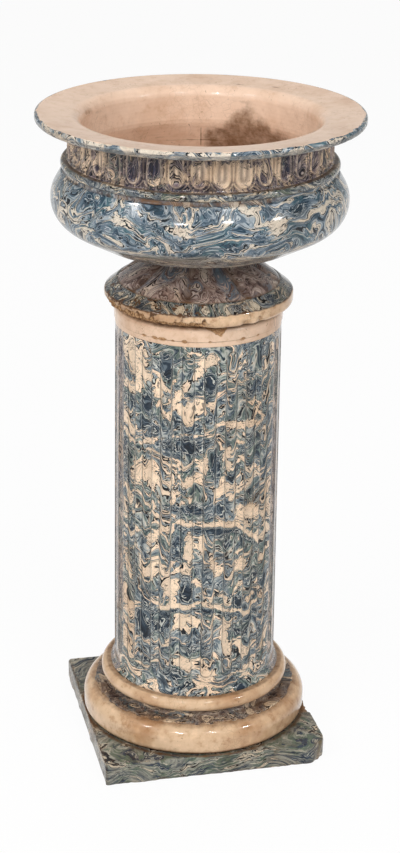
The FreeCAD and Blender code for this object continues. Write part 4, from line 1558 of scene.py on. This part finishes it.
# painted shadow of the flange on the top of the leaf band, darkened through the frieze's mask
top_shadow = rise(height, frieze_top - 11 * MM, frieze_top)
frieze_places = ((9, 876, 14, 14, 0, 0.24), (16, 868, 8, 12, 0, 0.2), (52, 872, 4, 16, 0, 0.1),
                 (-47, 880, 3.5, 18, 0, 0.2), (-32, 874, 4, 16, 0, -0.2),
                 (-21, 880, 5, 12, 0, -0.22), (40, 880, 3, 12, 0, -0.24),
                 (-4, 857, 12, 4, 0, -0.18), (33, 878, 3, 18, 0, 0.18), (-17, 862, 5, 6, 0, 0.16))
turned_piece("leaf_frieze", radius, height, turn,
             {"dirt_and_shade": 0.6 * top_shadow + 0.2 * pool_and_shade * worn + 0.1,
              "ridge_and_highlight": face * ridge_and_highlight * (0.4 + 0.6 * worn), "pool_and_shade": face * pool_and_shade * (0.5 + 0.5 * worn),
              "follow": patches(turn, height, frieze_places)},
             "neck_frieze", "jardiniere", frieze_finish)

# %% [markdown]
# ## Floor, light and camera
#
# The photograph was taken in a white studio. The four short glints on the belly say where its
# lamps were: a glint sits where the glaze mirrors a lamp to the eye, so each one gives a
# direction. They are short dashes, so those lamps were small; they are seen in the gloss alone.
# Four large soft lamps do the lighting: two in front, one above and a weak one behind. The
# camera looks down and sees only the floor, so only the floor has to be white: its paper glows
# for the camera and for gloss, and keeps a little of the pot's shadow.

# %% The world
world = bpy.data.worlds.new("studio")
bpy.context.scene.world = world
world.use_nodes = True
daylight = world.node_tree.nodes["Background"]
daylight.inputs["Color"].default_value = (1.0, 0.99, 0.97, 1)
daylight.inputs["Strength"].default_value = 0.45

# %% The floor
PAPER_GLOW = 0.94        # the rest is the paper's own colour, with the shadow
floor_half = 15.0
mesh = bpy.data.meshes.new("studio_floor")
mesh.from_pydata([(-floor_half, -floor_half, 0), (floor_half, -floor_half, 0),
                  (floor_half, floor_half, 0), (-floor_half, floor_half, 0)], [], [(0, 1, 2, 3)])
floor = bpy.data.objects.new("studio_floor", mesh)
bpy.context.collection.objects.link(floor)
paper = bpy.data.materials.new("white_paper")
paper.use_nodes = True
tree = paper.node_tree
shader = tree.nodes["Principled BSDF"]
shader.inputs["Base Color"].default_value = (0.85, 0.85, 0.85, 1)
shader.inputs["Roughness"].default_value = 0.9
glow = tree.nodes.new("ShaderNodeEmission")
glow.inputs["Strength"].default_value = 1.0
choice = tree.nodes.new("ShaderNodeMixShader")
path = tree.nodes.new("ShaderNodeLightPath").outputs
gloss = calculate(tree, "MAXIMUM", path["Is Glossy Ray"], path["Is Transmission Ray"])
seen = calculate(tree, "MAXIMUM", path["Is Camera Ray"], gloss)
tree.links.new(times(tree, seen, PAPER_GLOW), choice.inputs[0])
tree.links.new(shader.outputs[0], choice.inputs[1])
tree.links.new(glow.outputs[0], choice.inputs[2])
tree.links.new(choice.outputs[0], tree.nodes["Material Output"].inputs["Surface"])
mesh.materials.append(paper)
print("floor", 2 * floor_half, "m wide")

# %% The lamps
target = Vector((0, 0, belly_level))
GLINT_DISTANCE, GLINT_WIDE, GLINT_TALL, GLINT_POWER = 2.2, 0.24, 0.07, 14.0
SOFT_DISTANCE, SOFT_SIZE = 3.0, 1.5


def add_lamp(name, right, up, distance, width, tall, power):
    """An area lamp that faces the belly, by degrees right of front and degrees up."""
    light = bpy.data.lights.new(name, "AREA")
    light.shape = "RECTANGLE"
    light.size = width
    light.size_y = tall
    light.energy = power
    lamp = bpy.data.objects.new(name, light)
    bpy.context.collection.objects.link(lamp)
    bearing = FRONT + math.radians(right)
    up = math.radians(up)
    lamp.location = (target.x + distance * math.cos(up) * math.cos(bearing),
                     target.y + distance * math.cos(up) * math.sin(bearing),
                     target.z + distance * math.sin(up))
    lamp.rotation_euler = (math.pi / 2 - up, 0, bearing + math.pi / 2)
    return lamp


glint_places = ((-58, 37), (-15, 30), (23, 36), (63, 27))
for number, (right, up) in enumerate(glint_places):
    glint = add_lamp("glint_lamp_%d" % number, right, up,
                     GLINT_DISTANCE, GLINT_WIDE, GLINT_TALL, GLINT_POWER)
    glint.visible_diffuse = False
soft_lamps = (("soft_front_left", -40, 28, 43.0), ("soft_front_right", 28, 28, 34.0),
              ("soft_top", 0, 66, 15.0), ("soft_back", 180, 35, 16.0))
for name, right, up, power in soft_lamps:
    soft = add_lamp(name, right, up, SOFT_DISTANCE, SOFT_SIZE, SOFT_SIZE, power)
    soft.visible_glossy = False
print("lamps", len(bpy.data.lights))

# %% The camera
camera_distance = 2.702
camera_height = 1.5678
pitch_down = math.radians(22.197)
tilt = math.radians(0.807)
yaw = -0.0016
camera_data = bpy.data.cameras.new("photo_camera")
camera_data.lens = 88.24
camera_data.sensor_width = 36.0
camera = bpy.data.objects.new("photo_camera", camera_data)
bpy.context.collection.objects.link(camera)
bearing = FRONT + math.pi / 2
camera.matrix_world = (
    Matrix.Translation((camera_distance * math.cos(FRONT), camera_distance * math.sin(FRONT),
                        camera_height))
    @ Matrix.Rotation(bearing + yaw, 4, "Z")
    @ Matrix.Rotation(math.pi / 2 - pitch_down, 4, "X")
    @ Matrix.Rotation(tilt, 4, "Z"))
bpy.context.scene.camera = camera
bpy.context.scene.view_settings.view_transform = "Standard"
print("camera", camera_height, "m up and", camera_distance, "m away")
